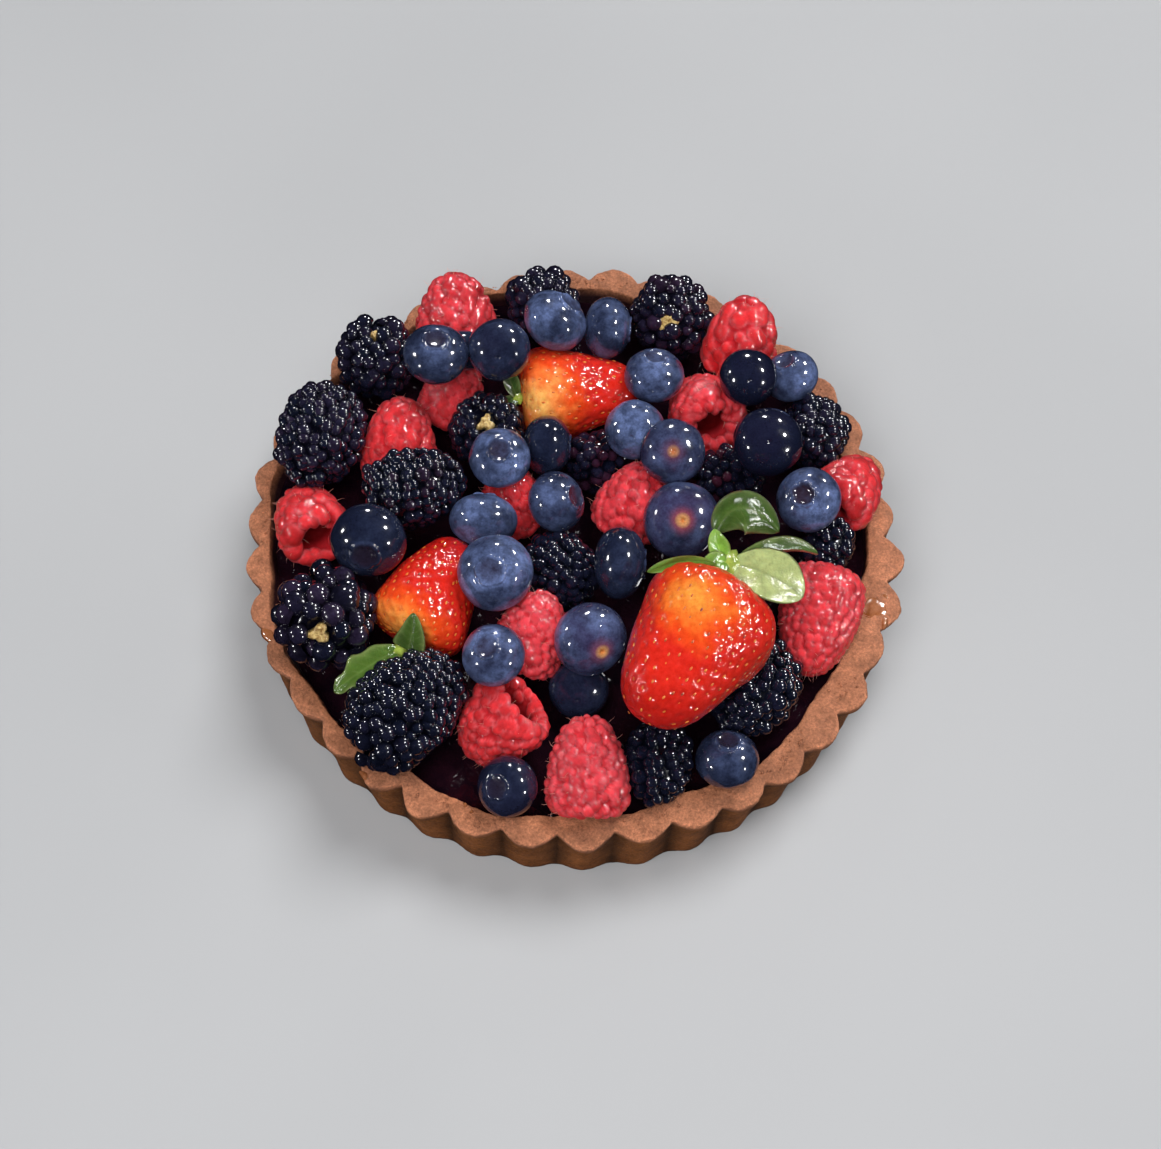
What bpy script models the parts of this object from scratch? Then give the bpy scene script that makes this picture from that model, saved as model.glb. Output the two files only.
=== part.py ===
"""A round berry tart: a fluted shortcrust shell, a dark set filling and a heap of whole berries.

The origin is the middle of the flat base, +Z is up and -Y is the front. Every berry is a solid of its own.
The berries go in one after another, each lowered until it is about to touch what is already there, so that
the heap holds itself up as the real one does.
"""
import math
from collections import Counter, namedtuple

import bmesh
import bpy
from mathutils import Matrix, Vector
from mathutils.bvhtree import BVHTree

MM = 0.001
GAP = 0.3 * MM  # the air between neighbouring solids
SWELL = 1.2 * GAP  # a berry is swollen by this while it is lowered, so that the gap is left all round it

# Shortcrust shell
RIM_RADIUS = 80 * MM  # over the tips of the flutes
RIM_HEIGHT = 24 * MM
FLUTES = 38
COLUMNS_PER_FLUTE = 4
RIM_FLUTE_DEPTH = 3.0 * MM  # from the tip of a flute in to the crease beside it
WAIST_HEIGHT = 20 * MM  # the wall stands back here, under the thicker lip
WAIST_RADIUS = 78.6 * MM
FOOT_RADIUS = 77 * MM
FOOT_FLUTE_DEPTH = 2.2 * MM
INNER_EDGE_RADIUS = 73 * MM
INNER_FOOT_RADIUS = 70 * MM
FLOOR_HEIGHT = 5 * MM

# Filling
FILLING_EDGE_HEIGHT = 18 * MM
FILLING_CROWN_HEIGHT = 20 * MM
FILLING_CLEARANCE = 0.45 * MM  # between the filling and the sloping wall of the shell
FILLING_SEGMENTS = 40

# A kind of berry is a turned shape. Its rings run from the far end to the stem end, each as a share of the
# berry's half width and a share of its half length, and its beads stand out by a share of the half width.
Kind = namedtuple("Kind", "segments bead rings colour roughness")
KINDS = {
    "blueberry": Kind(
        segments=10,
        bead=0,
        rings=(
            (0, 0.76), (0.2, 0.8), (0.38, 0.98), (0.84, 0.56),
            (1, -0.02), (0.83, -0.58), (0.42, -0.93), (0, -1),
        ),
        colour=(0.035, 0.05, 0.12),
        roughness=0.25,
    ),
    "bramble": Kind(
        segments=10,
        bead=0.06,
        rings=(
            (0, 1), (0.5, 0.88), (0.84, 0.52), (0.98, 0.04),
            (0.93, -0.44), (0.66, -0.86), (0.25, -0.9), (0, -0.8),
        ),
        colour=(0.012, 0.01, 0.018),
        roughness=0.2,
    ),
    "raspberry": Kind(
        segments=10,
        bead=0.045,
        rings=(
            (0, 1), (0.42, 0.88), (0.72, 0.5), (0.88, 0.06), (0.97, -0.4),
            (0.92, -0.78), (0.7, -0.98), (0.45, -0.82), (0.34, -0.3), (0, -0.2),
        ),
        colour=(0.6, 0.03, 0.05),
        roughness=0.3,
    ),
    "strawberry": Kind(
        segments=12,
        bead=0,
        rings=(
            (0, 1), (0.32, 0.88), (0.6, 0.54), (0.85, 0.08), (1, -0.4),
            (0.94, -0.74), (0.62, -0.96), (0.2, -0.92), (0, -0.86),
        ),
        colour=(0.65, 0.05, 0.02),
        roughness=0.3,
    ),
}

# A leaf of a strawberry's green top: its direction round the stem, its length, the half angle that it fills,
# and how far its end stands away from the fruit, or back over it where that is negative.
Leaf = namedtuple("Leaf", "turn length half_angle rise")
TOP_SEGMENTS = 36
HUB_RADIUS = 3 * MM
LEAF_THICKNESS = 0.8 * MM
LEAF_RINGS = (0, 0.4, 0.8, 1, 0.8, 0.4, 0)  # share of the leaf's reach, over the top face and back underneath
LEAF_FACES = (1, 1, 1, 0, -1, -1, -1)  # the side of the plate that each ring lies on
LARGE_TOP = (
    Leaf(turn=90, length=14, half_angle=27, rise=-3),
    Leaf(turn=140, length=13, half_angle=20, rise=5),
    Leaf(turn=190, length=14, half_angle=24, rise=8),
    Leaf(turn=236, length=7, half_angle=18, rise=3),
    Leaf(turn=278, length=12, half_angle=16, rise=-3),
)
SMALL_TOP = (
    Leaf(turn=90, length=6, half_angle=34, rise=6),
    Leaf(turn=190, length=6, half_angle=34, rise=-1),
    Leaf(turn=290, length=5, half_angle=34, rise=1),
)

# The berries in the order in which they go in. Places are in millimetres from the middle of the tart.
# Heading and tilt are where the far end points, in degrees: round from +X, and up from the level.
Fruit = namedtuple("Fruit", "kind x y width length heading tilt leaves", defaults=((),))
FRUIT = (
    # lying on the filling, or against the lip of the shell
    Fruit("strawberry", -32, -21, 24.5, 28, 65, 10, SMALL_TOP),
    Fruit("blueberry", 3, -41, 14, 12, 90, -40),
    Fruit("bramble", 22, -59, 16, 20, 270, 10),
    Fruit("bramble", 37, 18, 15, 18, 0, 30),
    Fruit("bramble", 4, 20, 14.5, 16, 0, 70),
    Fruit("raspberry", -65, 0, 18, 19, 115, -20),
    Fruit("raspberry", -32, 37, 16, 17, 60, 50),
    Fruit("raspberry", -16, 7, 16, 17, 90, 60),
    Fruit("raspberry", 6, -62, 19.5, 23, 95, 30),
    Fruit("raspberry", -15, -52, 20, 21, 195, -20),
    Fruit("bramble", -3, -13, 19, 20, 300, 45),
    Fruit("raspberry", -9, -30, 17.5, 20, 70, 30),
    Fruit("bramble", 58, 31, 16.5, 19, 280, 20),
    Fruit("raspberry", 30, 37, 19.5, 19.5, 105, -25),
    Fruit("raspberry", 66, 15, 17.5, 19.5, 60, -15),
    Fruit("bramble", 44, -40, 20.5, 24, 240, 10),
    Fruit("raspberry", 59, -21, 20.5, 26, 260, -10),
    Fruit("bramble", 61, -1, 12.5, 13.5, 60, 20),
    Fruit("raspberry", -44, 20, 19, 22, 90, 45),
    Fruit("bramble", 21, 62, 20.5, 19.5, 75, -45),
    Fruit("bramble", -12, 65, 18.5, 17.5, 270, 60),
    Fruit("raspberry", -33, 57, 21.5, 22.5, 95, 50),
    Fruit("bramble", -57, -31, 23.5, 25.5, 90, -25),
    Fruit("blueberry", -12, -68, 14, 12, 225, 55),
    Fruit("strawberry", -1, 37, 24, 30, 10, 0),
    Fruit("blueberry", 38, -58, 14.5, 12.5, 95, 65),
    Fruit("bramble", -23, 24, 18.5, 17, 90, -75),
    Fruit("raspberry", 39, 55, 19, 20.5, 75, 60),
    Fruit("raspberry", 14, 8, 18, 19, 60, 50),
    Fruit("bramble", -52, 43, 20, 19.5, 270, -80),
    Fruit("bramble", -63, 19, 21.5, 25.5, 255, -5),
    Fruit("blueberry", 51, 43, 13.5, 11.5, 150, 65),
    # lying on other berries
    Fruit("blueberry", -22, -4, 16, 12.5, 90, 15),
    Fruit("blueberry", 11, -14, 17, 12.5, 0, 0),
    Fruit("blueberry", 13, 23, 14.5, 12.5, 80, -40),
    Fruit("blueberry", -8, 18, 14.5, 12, 0, 0),
    Fruit("bramble", -36, -52, 24, 31, 50, 5),
    Fruit("bramble", -39, 2, 19, 24.5, 20, 0),
    Fruit("blueberry", -30, 41, 11, 9.5, 90, 0),
    Fruit("blueberry", -5, 3, 14.5, 12.5, 355, 40),
    Fruit("blueberry", 5, -34, 17, 14.5, 120, -35),
    Fruit("blueberry", 55, 5, 15.5, 13, 210, 70),
    Fruit("blueberry", 45, 20, 16.5, 14, 90, -60),
    Fruit("blueberry", 17, 38, 14.5, 12.5, 90, 70),
    Fruit("blueberry", 25, -1, 18, 15, 90, -60),
    Fruit("blueberry", 5, 51, 15, 12, 0, 0),
    Fruit("blueberry", -8, 49, 16, 13.5, 35, 45),
    Fruit("blueberry", -19, 10, 14.5, 12, 270, 80),
    Fruit("blueberry", -48, -15, 17.5, 14.5, 270, 30),
    Fruit("blueberry", 40, 38, 14, 12.5, 90, -50),
    Fruit("blueberry", -17, -41, 14.5, 12, 200, 75),
    Fruit("blueberry", 22, 14, 15.5, 13, 90, -60),
    Fruit("blueberry", -36, 34, 15.5, 12.5, 90, 85),
    Fruit("blueberry", -18, -21, 17.5, 14, 250, 65),
    Fruit("blueberry", -21, 37, 15, 13, 90, -40),
    Fruit("strawberry", 26, -42, 32, 41, 240, 0, LARGE_TOP),
)


def remove_objects():
    for obj in list(bpy.data.objects):
        bpy.data.objects.remove(obj)


def food_material(name, colour, roughness):
    material = bpy.data.materials.new(name)
    material.use_nodes = True
    shader = material.node_tree.nodes["Principled BSDF"]
    shader.inputs["Base Color"].default_value = (*colour, 1)
    shader.inputs["Roughness"].default_value = roughness
    shader.inputs["Metallic"].default_value = 0
    return material


def add_object(collection, name, mesh, material, matrix=None):
    mesh.name = name
    mesh.materials.append(material)
    obj = bpy.data.objects.new(name, mesh)
    obj.matrix_world = matrix or Matrix()
    collection.objects.link(obj)
    return obj


def turned_mesh(segments, ring_count, place):
    """A UV sphere whose points go to place(ring, angle), a radius and a height. Ring 0 is the top pole."""
    bm = bmesh.new()
    bmesh.ops.create_uvsphere(bm, u_segments=segments, v_segments=ring_count - 1, radius=1)
    for vertex in bm.verts:
        x, y, z = vertex.co
        ring = round(math.acos(max(-1, min(1, z))) / math.pi * (ring_count - 1))
        angle = math.atan2(y, x)
        radius, height = place(ring, angle)
        vertex.co = (radius * math.cos(angle), radius * math.sin(angle), height)
    bmesh.ops.triangulate(bm, faces=bm.faces)
    mesh = bpy.data.meshes.new("turned")
    bm.to_mesh(mesh)
    bm.free()
    return mesh


def shell_mesh():
    """One profile from the middle of the floor, out over the lip, down the fluted wall and in underneath."""
    rings = (
        (0, FLOOR_HEIGHT, 0),
        (INNER_FOOT_RADIUS, FLOOR_HEIGHT, 0),
        (INNER_EDGE_RADIUS, RIM_HEIGHT, 0),
        (RIM_RADIUS, RIM_HEIGHT, RIM_FLUTE_DEPTH),
        (WAIST_RADIUS, WAIST_HEIGHT, RIM_FLUTE_DEPTH),
        (FOOT_RADIUS, 0, FOOT_FLUTE_DEPTH),
        (0, 0, 0),
    )

    def place(ring, angle):
        radius, height, flute_depth = rings[ring]
        inward = 1 - abs(math.cos(angle * FLUTES / 2))
        return radius - flute_depth * inward, height

    return turned_mesh(FLUTES * COLUMNS_PER_FLUTE, len(rings), place)


def filling_mesh():
    wall_slope = (INNER_EDGE_RADIUS - INNER_FOOT_RADIUS) / (RIM_HEIGHT - FLOOR_HEIGHT)
    foot_radius = INNER_FOOT_RADIUS - FILLING_CLEARANCE
    edge_radius = foot_radius + wall_slope * (FILLING_EDGE_HEIGHT - FLOOR_HEIGHT)
    rings = (
        (0, FILLING_CROWN_HEIGHT),
        (edge_radius / 2, (3 * FILLING_CROWN_HEIGHT + FILLING_EDGE_HEIGHT) / 4),
        (edge_radius, FILLING_EDGE_HEIGHT),
        (foot_radius, FLOOR_HEIGHT + GAP),
        (0, FLOOR_HEIGHT + GAP),
    )
    return turned_mesh(FILLING_SEGMENTS, len(rings), lambda ring, angle: rings[ring])


def berry_mesh(fruit):
    """A berry about its own axis, far end up, with every second point raised to a bead, brick fashion."""
    kind = KINDS[fruit.kind]

    def place(ring, angle):
        share, height = kind.rings[ring]
        column = round(angle / math.tau * kind.segments)
        side = 1 if (ring + column) % 2 else -1
        return share * (1 + kind.bead * side) * fruit.width / 2 * MM, height * fruit.length / 2 * MM

    return turned_mesh(kind.segments, len(kind.rings), place)


def off_middle(leaf, turn):
    """How far a direction round the stem is from the middle of a leaf, as a share of its half angle."""
    return abs((turn - leaf.turn + 180) % 360 - 180) / leaf.half_angle


def top_mesh(fruit):
    """The green top: a thin plate round the stem whose outline runs out along each leaf."""
    stem_height = -fruit.length / 2 * MM - LEAF_THICKNESS

    def place(ring, angle):
        turn = math.degrees(angle) % 360
        leaf = min(fruit.leaves, key=lambda leaf: off_middle(leaf, turn))
        run = leaf.length * MM * math.sqrt(max(0, 1 - off_middle(leaf, turn) ** 2))
        reach = LEAF_RINGS[ring] * (HUB_RADIUS + run)
        rise = leaf.rise * MM * (reach / (HUB_RADIUS + leaf.length * MM)) ** 3
        return reach, stem_height - rise + LEAF_FACES[ring] * LEAF_THICKNESS / 2

    return turned_mesh(TOP_SEGMENTS, len(LEAF_RINGS), place)


def laid(fruit):
    """Turns a berry from its own axis to its heading and tilt, over its place in the tart."""
    turn = Matrix.Rotation(math.radians(fruit.heading), 4, "Z")
    lean = Matrix.Rotation(math.radians(90 - fruit.tilt), 4, "Y")
    return Matrix.Translation((fruit.x * MM, fruit.y * MM, 0)) @ turn @ lean


class Heap:
    """What is in the tart so far, and how low a further berry can go."""

    STEP = 0.5 * MM
    CLOSE = 0.02 * MM

    def __init__(self):
        self.points = []
        self.faces = []
        self.tree = None

    def add(self, mesh, matrix):
        first = len(self.points)
        self.points.extend(matrix @ vertex.co for vertex in mesh.vertices)
        self.faces.extend([first + index for index in face.vertices] for face in mesh.polygons)
        self.tree = BVHTree.FromPolygons(self.points, self.faces)

    def touches(self, swollen, faces, height):
        lift = Vector((0, 0, height))
        return bool(self.tree.overlap(BVHTree.FromPolygons([point + lift for point in swollen], faces)))

    def resting_height(self, meshes, matrix):
        """Lowers the meshes, swollen by the gap, from above the heap until they are about to touch it."""
        swollen = []
        faces = []
        for mesh in meshes:
            first = len(swollen)
            swollen.extend(matrix @ (vertex.co + vertex.normal * SWELL) for vertex in mesh.vertices)
            faces.extend([first + index for index in face.vertices] for face in mesh.polygons)
        height = max(point.z for point in self.points) - min(point.z for point in swollen) + self.STEP
        while not self.touches(swollen, faces, height):
            height -= self.STEP
        low, high = height, height + self.STEP
        while high - low > self.CLOSE:
            middle = (low + high) / 2
            if self.touches(swollen, faces, middle):
                low = middle
            else:
                high = middle
        return high


def build_tart():
    remove_objects()
    tart = bpy.data.collections.new("berry_tart")
    bpy.context.scene.collection.children.link(tart)
    heap = Heap()
    crust = food_material("shortcrust", (0.33, 0.17, 0.09), 0.8)
    dark_jelly = food_material("set_filling", (0.02, 0.01, 0.014), 0.2)
    shell = add_object(tart, "shell", shell_mesh(), crust)
    filling = add_object(tart, "filling", filling_mesh(), dark_jelly)
    heap.add(shell.data, Matrix())
    heap.add(filling.data, Matrix())
    materials = {name: food_material(name, kind.colour, kind.roughness) for name, kind in KINDS.items()}
    leaf_green = food_material("leaf", (0.1, 0.22, 0.03), 0.4)
    numbers = Counter()
    for fruit in FRUIT:
        numbers[fruit.kind] += 1
        name = f"{fruit.kind}_{numbers[fruit.kind]:02d}"
        solids = [(name, berry_mesh(fruit), materials[fruit.kind])]
        if fruit.leaves:
            solids.append((name + "_leaves", top_mesh(fruit), leaf_green))
        matrix = laid(fruit)
        height = heap.resting_height([mesh for _, mesh, _ in solids], matrix)
        matrix = Matrix.Translation((0, 0, height)) @ matrix
        for solid_name, mesh, material in solids:
            heap.add(mesh, matrix)
            mesh.shade_smooth()
            add_object(tart, solid_name, mesh, material, matrix)


build_tart()
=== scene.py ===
"""A round berry tart as it leaves the kitchen: baked crust, dark jelly, and whole berries under a clear glaze.

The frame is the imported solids, in metres: the origin is the middle of the flat base, +Z is up and the front
is -Y. The script follows the tart as it is put together: shell, filling, berries, then glaze and crumbs.
"""
import math
from collections import namedtuple

import bpy
import numpy as np
from mathutils import Matrix, Vector, kdtree, noise


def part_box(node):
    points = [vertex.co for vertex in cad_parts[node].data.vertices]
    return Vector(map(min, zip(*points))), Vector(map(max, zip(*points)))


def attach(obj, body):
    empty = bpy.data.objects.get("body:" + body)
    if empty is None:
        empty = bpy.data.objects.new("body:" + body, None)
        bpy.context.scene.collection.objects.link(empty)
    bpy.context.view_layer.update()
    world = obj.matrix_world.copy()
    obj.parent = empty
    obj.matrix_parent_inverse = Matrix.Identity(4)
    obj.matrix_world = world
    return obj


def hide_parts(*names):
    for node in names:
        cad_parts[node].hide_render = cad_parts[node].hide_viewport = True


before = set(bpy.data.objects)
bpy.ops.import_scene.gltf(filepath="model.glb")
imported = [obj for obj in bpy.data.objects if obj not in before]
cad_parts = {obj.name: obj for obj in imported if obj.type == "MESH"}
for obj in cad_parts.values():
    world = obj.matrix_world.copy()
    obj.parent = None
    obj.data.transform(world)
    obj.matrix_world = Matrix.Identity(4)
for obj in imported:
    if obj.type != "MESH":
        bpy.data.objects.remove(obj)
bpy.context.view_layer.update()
MM = 0.001

# ---------------------------------------------------------------------------------------------------------
# The shell. Shortcrust is pressed into a fluted tin, trimmed level with its edge, baked blind and turned
# out. The cut lip is flat and crumbly. Below it the wall stands back, glossier and darker, partly from the
# metal and partly as painted shade under the lip, with more painted shade in its flute creases.
# ---------------------------------------------------------------------------------------------------------
FLUTES = 38
COLUMNS_PER_FLUTE = 22
LIP_RADIUS = 80 * MM
LIP_HEIGHT = 24 * MM
LIP_FLUTE_DEPTH = 3.6 * MM
LIP_THICKNESS = 3.2 * MM
WAIST_RADIUS = 78.4 * MM
FOOT_RADIUS = 76.6 * MM
FOOT_FLUTE_DEPTH = 1.4 * MM
INNER_LIP_RADIUS = 73 * MM
INNER_FOOT_RADIUS = 70 * MM
INNER_FLOOR_HEIGHT = 8 * MM
WOBBLE_WAVES = ((2, 0.11, 0.4), (3, 0.1, 2.1), (5, 0.09, 4.0), (7, 0.07, 1.3), (11, 0.06, 5.2))


def lumps(points, size, seed):
    """Smooth noise from -1 to 1 at each point, with lumps about that size across."""
    shift = Vector((seed * 7.31, seed * 3.17, seed * 5.77))
    return np.array([noise.noise(Vector(point) / size + shift) for point in points])


def mesh_piece(name, points, faces, material, smooth=True):
    """A new object of these points and faces, in the row frame."""
    mesh = bpy.data.meshes.new(name)
    mesh.from_pydata(np.asarray(points).tolist(), [], faces)
    mesh.update()
    if smooth:
        mesh.shade_smooth()
    mesh.materials.append(material)
    piece = bpy.data.objects.new(name, mesh)
    bpy.context.scene.collection.objects.link(piece)
    return piece


def paint(piece, name, values):
    """Stores a number, or a red, green and blue, for each point of a piece. Materials read it by that name."""
    values = np.asarray(values, np.float32)
    if values.ndim == 1:
        layer = piece.data.attributes.new(name, "FLOAT", "POINT")
        layer.data.foreach_set("value", values)
    else:
        layer = piece.data.attributes.new(name, "FLOAT_COLOR", "POINT")
        layer.data.foreach_set("color", np.column_stack([values, np.ones(len(values))]).astype(np.float32).ravel())


def serve(piece, slot, *nodes):
    """A finished piece of the tart: it rides on the tart and stands for those solids, which it hides. The slot is not
    used.
    """
    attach(piece, "root")
    if nodes:
        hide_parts(*nodes)


def ring_faces(first, rings, columns):
    """Quads between closed rings of points that follow one another, outside first ring at the top."""
    faces = []
    for ring in range(rings - 1):
        for column in range(columns):
            beside = (column + 1) % columns
            upper = first + ring * columns
            lower = upper + columns
            faces.append((upper + column, lower + column, lower + beside, upper + beside))
    return faces


def turned_faces(rings, columns):
    """Faces of a turned body whose points are its top pole, its rings from the top down, and its foot pole."""
    faces = [(0, 1 + column, 1 + (column + 1) % columns) for column in range(columns)]
    faces += ring_faces(1, rings, columns)
    last = 1 + (rings - 1) * columns
    foot = last + columns
    faces += [(foot, last + (column + 1) % columns, last + column) for column in range(columns)]
    return faces


class Recipe:
    """A procedural material: a Principled shader and a short way to feed it from other nodes."""

    def __init__(self, name, **sockets):
        self.material = bpy.data.materials.new(name)
        self.material.use_nodes = True
        self.tree = self.material.node_tree
        self.shader = self.tree.nodes["Principled BSDF"]
        for socket, value in sockets.items():
            self.shader.inputs[socket.replace("_", " ")].default_value = value
        self.place = self.tree.nodes.new("ShaderNodeTexCoord").outputs["Object"]

    def node(self, kind, settings=None, **inputs):
        made = self.tree.nodes.new("ShaderNode" + kind)
        for key, value in (settings or {}).items():
            setattr(made, key, value)
        for socket, value in inputs.items():
            self.feed(made.inputs[socket.replace("_", " ")], value)
        return made

    def feed(self, socket, value):
        if isinstance(value, bpy.types.NodeSocket):
            self.tree.links.new(value, socket)
        else:
            socket.default_value = value

    def painted(self, name, output="Color"):
        return self.node("Attribute", {"attribute_name": name}).outputs[output]

    def grain(self, size, detail=4.0, roughness=0.6, kind="Noise"):
        """Noise whose grains are about that size across."""
        if kind == "Voronoi":
            return self.node("TexVoronoi", Vector=self.place, Scale=1 / size).outputs["Distance"]
        grain = self.node("TexNoise", Vector=self.place, Scale=1 / size, Detail=detail, Roughness=roughness)
        return grain.outputs["Fac"]

    def ramp(self, value, *stops):
        """A number turned into a number or a colour, through stops of (position, value)."""
        made = self.node("ValToRGB", Fac=value)
        elements = made.color_ramp.elements
        while len(elements) < len(stops):
            elements.new(0.5)
        for element, (position, colour) in zip(elements, stops):
            element.position = position
            if not isinstance(colour, tuple):
                colour = (colour, colour, colour)
            element.color = (*colour, 1)
        return made.outputs["Color"]

    def mix(self, share, first, second, blend="MIX"):
        made = self.node("Mix", {"data_type": "RGBA", "blend_type": blend})
        self.feed(made.inputs["Factor"], share)
        for socket, value in (("A", first), ("B", second)):
            if isinstance(value, tuple):
                value = (*value, 1)
            self.feed(next(s for s in made.inputs if s.name == socket and s.type == "RGBA"), value)
        return next(s for s in made.outputs if s.type == "RGBA")

    def maths(self, operation, first, second):
        made = self.node("Math", {"operation": operation})
        self.feed(made.inputs[0], first)
        self.feed(made.inputs[1], second)
        return made.outputs["Value"]

    def bumps(self, height, depth, onto=None):
        """A normal for the shader from a height in 0 to 1 that stands for that depth in metres."""
        made = self.node("Bump", Height=height, Strength=1.0, Distance=depth)
        if onto is not None:
            self.feed(made.inputs["Normal"], onto)
        return made.outputs["Normal"]

    def finish(self, **sockets):
        for socket, value in sockets.items():
            self.feed(self.shader.inputs[socket.replace("_", " ")], value)
        return self.material


def flute_phase(angle):
    """Half a turn for each flute, with the pitch drifting a little as a hand-pressed shell does."""
    wobble = sum(size * np.sin(waves * angle + start) for waves, size, start in WOBBLE_WAVES)
    return angle * FLUTES / 2 + wobble


def inner_lip(angle):
    """The radius of the lip's inner edge, which wanders where the dough was pressed by hand."""
    radius = INNER_LIP_RADIUS - 2.3 * MM * np.cos(angle + 0.35) + 0.7 * MM * np.sin(7 * angle + 1)
    return radius + 0.5 * MM * np.sin(13 * angle) + 0.25 * MM * np.sin(29 * angle + 2)


rng = np.random.default_rng(3)
lobe_reach = np.clip(rng.normal(0, 0.45, FLUTES), -0.9, 0.6)
lobe_lift = rng.normal(0, 0.5, FLUTES)


def crust_points():
    """The rings of the shell from the middle of the floor inside, out over the lip, to the middle below."""
    columns = FLUTES * COLUMNS_PER_FLUTE
    angle = np.arange(columns) / columns * math.tau
    crease = 1 - np.abs(np.cos(flute_phase(angle)))
    depth_drift = 1 + 0.16 * np.sin(3 * angle + 1) + 0.12 * np.sin(8 * angle)
    level = 0.45 * MM * np.sin(2 * angle + 0.7) + 0.3 * MM * np.sin(5 * angle + 2)
    outer = LIP_RADIUS - LIP_FLUTE_DEPTH * depth_drift * crease
    outer = outer + 0.3 * MM * np.sin(4 * angle + 3)
    lobe = np.floor(flute_phase(angle) / math.pi + 0.5).astype(int) % FLUTES
    outer = outer + (lobe_reach[lobe] * (1 - crease)) * MM
    lip = LIP_HEIGHT + level + 0.6 * (lobe_lift[lobe] * (1 - crease)) * MM
    inner = inner_lip(angle)
    waist = WAIST_RADIUS - 0.75 * LIP_FLUTE_DEPTH * crease
    foot = FOOT_RADIUS - FOOT_FLUTE_DEPTH * np.sin(flute_phase(angle)) ** 2
    inner_foot = np.full(columns, INNER_FOOT_RADIUS)
    edge = 0.5 * MM
    rings = []
    for share in np.linspace(0, 1, 6, endpoint=False):
        rings.append((inner_foot + (inner - inner_foot) * share, INNER_FLOOR_HEIGHT * (1 - share) + lip * share))
    rings.append((inner, lip - edge))
    for share in np.linspace(0.04, 0.97, 20):
        slump = 0.35 * math.sin(math.pi * share) - 0.45 * share**8
        rings.append((inner + (outer - inner) * share, lip + slump * MM))
    rings.append((outer, lip - 1.6 * edge))
    for share in (0.3, 0.65, 1.0):
        rings.append((outer - share * 0.35 * MM, lip - 2 * edge - share * (LIP_THICKNESS - 2 * edge)))
    under = lip - LIP_THICKNESS
    rings.append((waist + 0.35 * (outer - 0.35 * MM - waist), under - 0.5 * MM))
    for share in np.linspace(0, 0.97, 14):
        rings.append((waist + (foot - waist) * share, (under - 0.9 * MM) * (1 - share)))
    rings.append((foot - 0.7 * MM, np.zeros(columns)))
    rings.append((foot * 0.6, np.zeros(columns)))
    points = [(0, 0, INNER_FLOOR_HEIGHT)]
    for radius, height in rings:
        height = np.broadcast_to(height, angle.shape)
        points.extend(np.column_stack([radius * np.cos(angle), radius * np.sin(angle), height]))
    points.append((0, 0, 0))
    crease = np.concatenate([[0], np.tile(crease, len(rings)), [0]])
    ring_number = np.concatenate([[0], np.repeat(np.arange(len(rings)), columns), [len(rings)]])
    return np.array(points), len(rings), columns, crease, ring_number


def crust_material():
    recipe = Recipe("baked_shortcrust", Roughness=0.7, Specular_IOR_Level=0.2)
    pigment = recipe.painted("crust_colour_and_shade")
    crumb = recipe.grain(0.6 * MM, 5, 0.7)
    flour = recipe.grain(3.5 * MM, 4, 0.65)
    speckled = recipe.mix(
        1.0, pigment, recipe.ramp(crumb, (0.34, 0.66), (0.49, 0.97), (0.61, 1.22), (0.72, 1.55)), "MULTIPLY"
    )
    speckled = recipe.mix(
        1.0, speckled, recipe.ramp(flour, (0.3, 0.68), (0.5, 0.98), (0.7, 1.3)), "MULTIPLY"
    )
    normal = recipe.bumps(crumb, 0.42 * MM)
    normal = recipe.bumps(recipe.grain(0.45 * MM, 3, 0.7), 0.12 * MM, normal)
    return recipe.finish(Base_Color=speckled, Normal=normal)


LIP_BROWN = np.array((0.44, 0.172, 0.088))
WALL_BROWN_AND_SHADE = np.array((0.27, 0.088, 0.021))
CREASE_SHADE = np.array((0.07, 0.026, 0.008))
JELLY_STAIN_AND_SHADE = np.array((0.03, 0.009, 0.012))
LIP_FIRST_RING = 7
LIP_EDGE_RING = 26

points, ring_count, column_count, crease, ring_number = crust_points()
below_lip = np.clip((LIP_HEIGHT - 1.0 * MM - points[:, 2]) / (2.5 * MM), 0, 1)
coarse = lumps(points, 5 * MM, 1)
fine = lumps(points, 1.7 * MM, 2)
grain = np.where(below_lip > 0.5, 0.35, 1.0)
outward = points * (1, 1, 0)
outward /= np.maximum(np.linalg.norm(outward, axis=1), 1e-9)[:, None]
shift = (0.3 * coarse + 0.25 * fine + 0.16 * lumps(points, 0.9 * MM, 8)) * MM * grain
points = points + outward * shift[:, None]
on_base = points[:, 2] < 0.3 * MM
upward = 0.4 * lumps(points, 5 * MM, 3) + 0.25 * lumps(points, 1.7 * MM, 4) + 0.14 * lumps(points, 0.8 * MM, 9)
upward = upward * MM * grain
points[:, 2] += np.where(on_base, 0, upward)
points[:, 2] = np.maximum(points[:, 2], 0)
crust = mesh_piece("crust", points, turned_faces(ring_count, column_count), crust_material())
toast = np.clip(0.5 + 0.9 * lumps(points, 11 * MM, 5), 0, 1)[:, None]
crust_colour_and_shade = LIP_BROWN * (0.86 + 0.3 * toast)
# The wall's brown is darker than the lip's, partly from the tin and partly painted shade under the overhanging lip.
wall = WALL_BROWN_AND_SHADE * (0.8 + 0.45 * toast)
# The wall is painted darker down into its flute creases: painted shade where the creases fall into shadow.
wall = wall + (CREASE_SHADE - wall) * (np.clip(crease, 0, 1) ** 1.3)[:, None]
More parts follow.
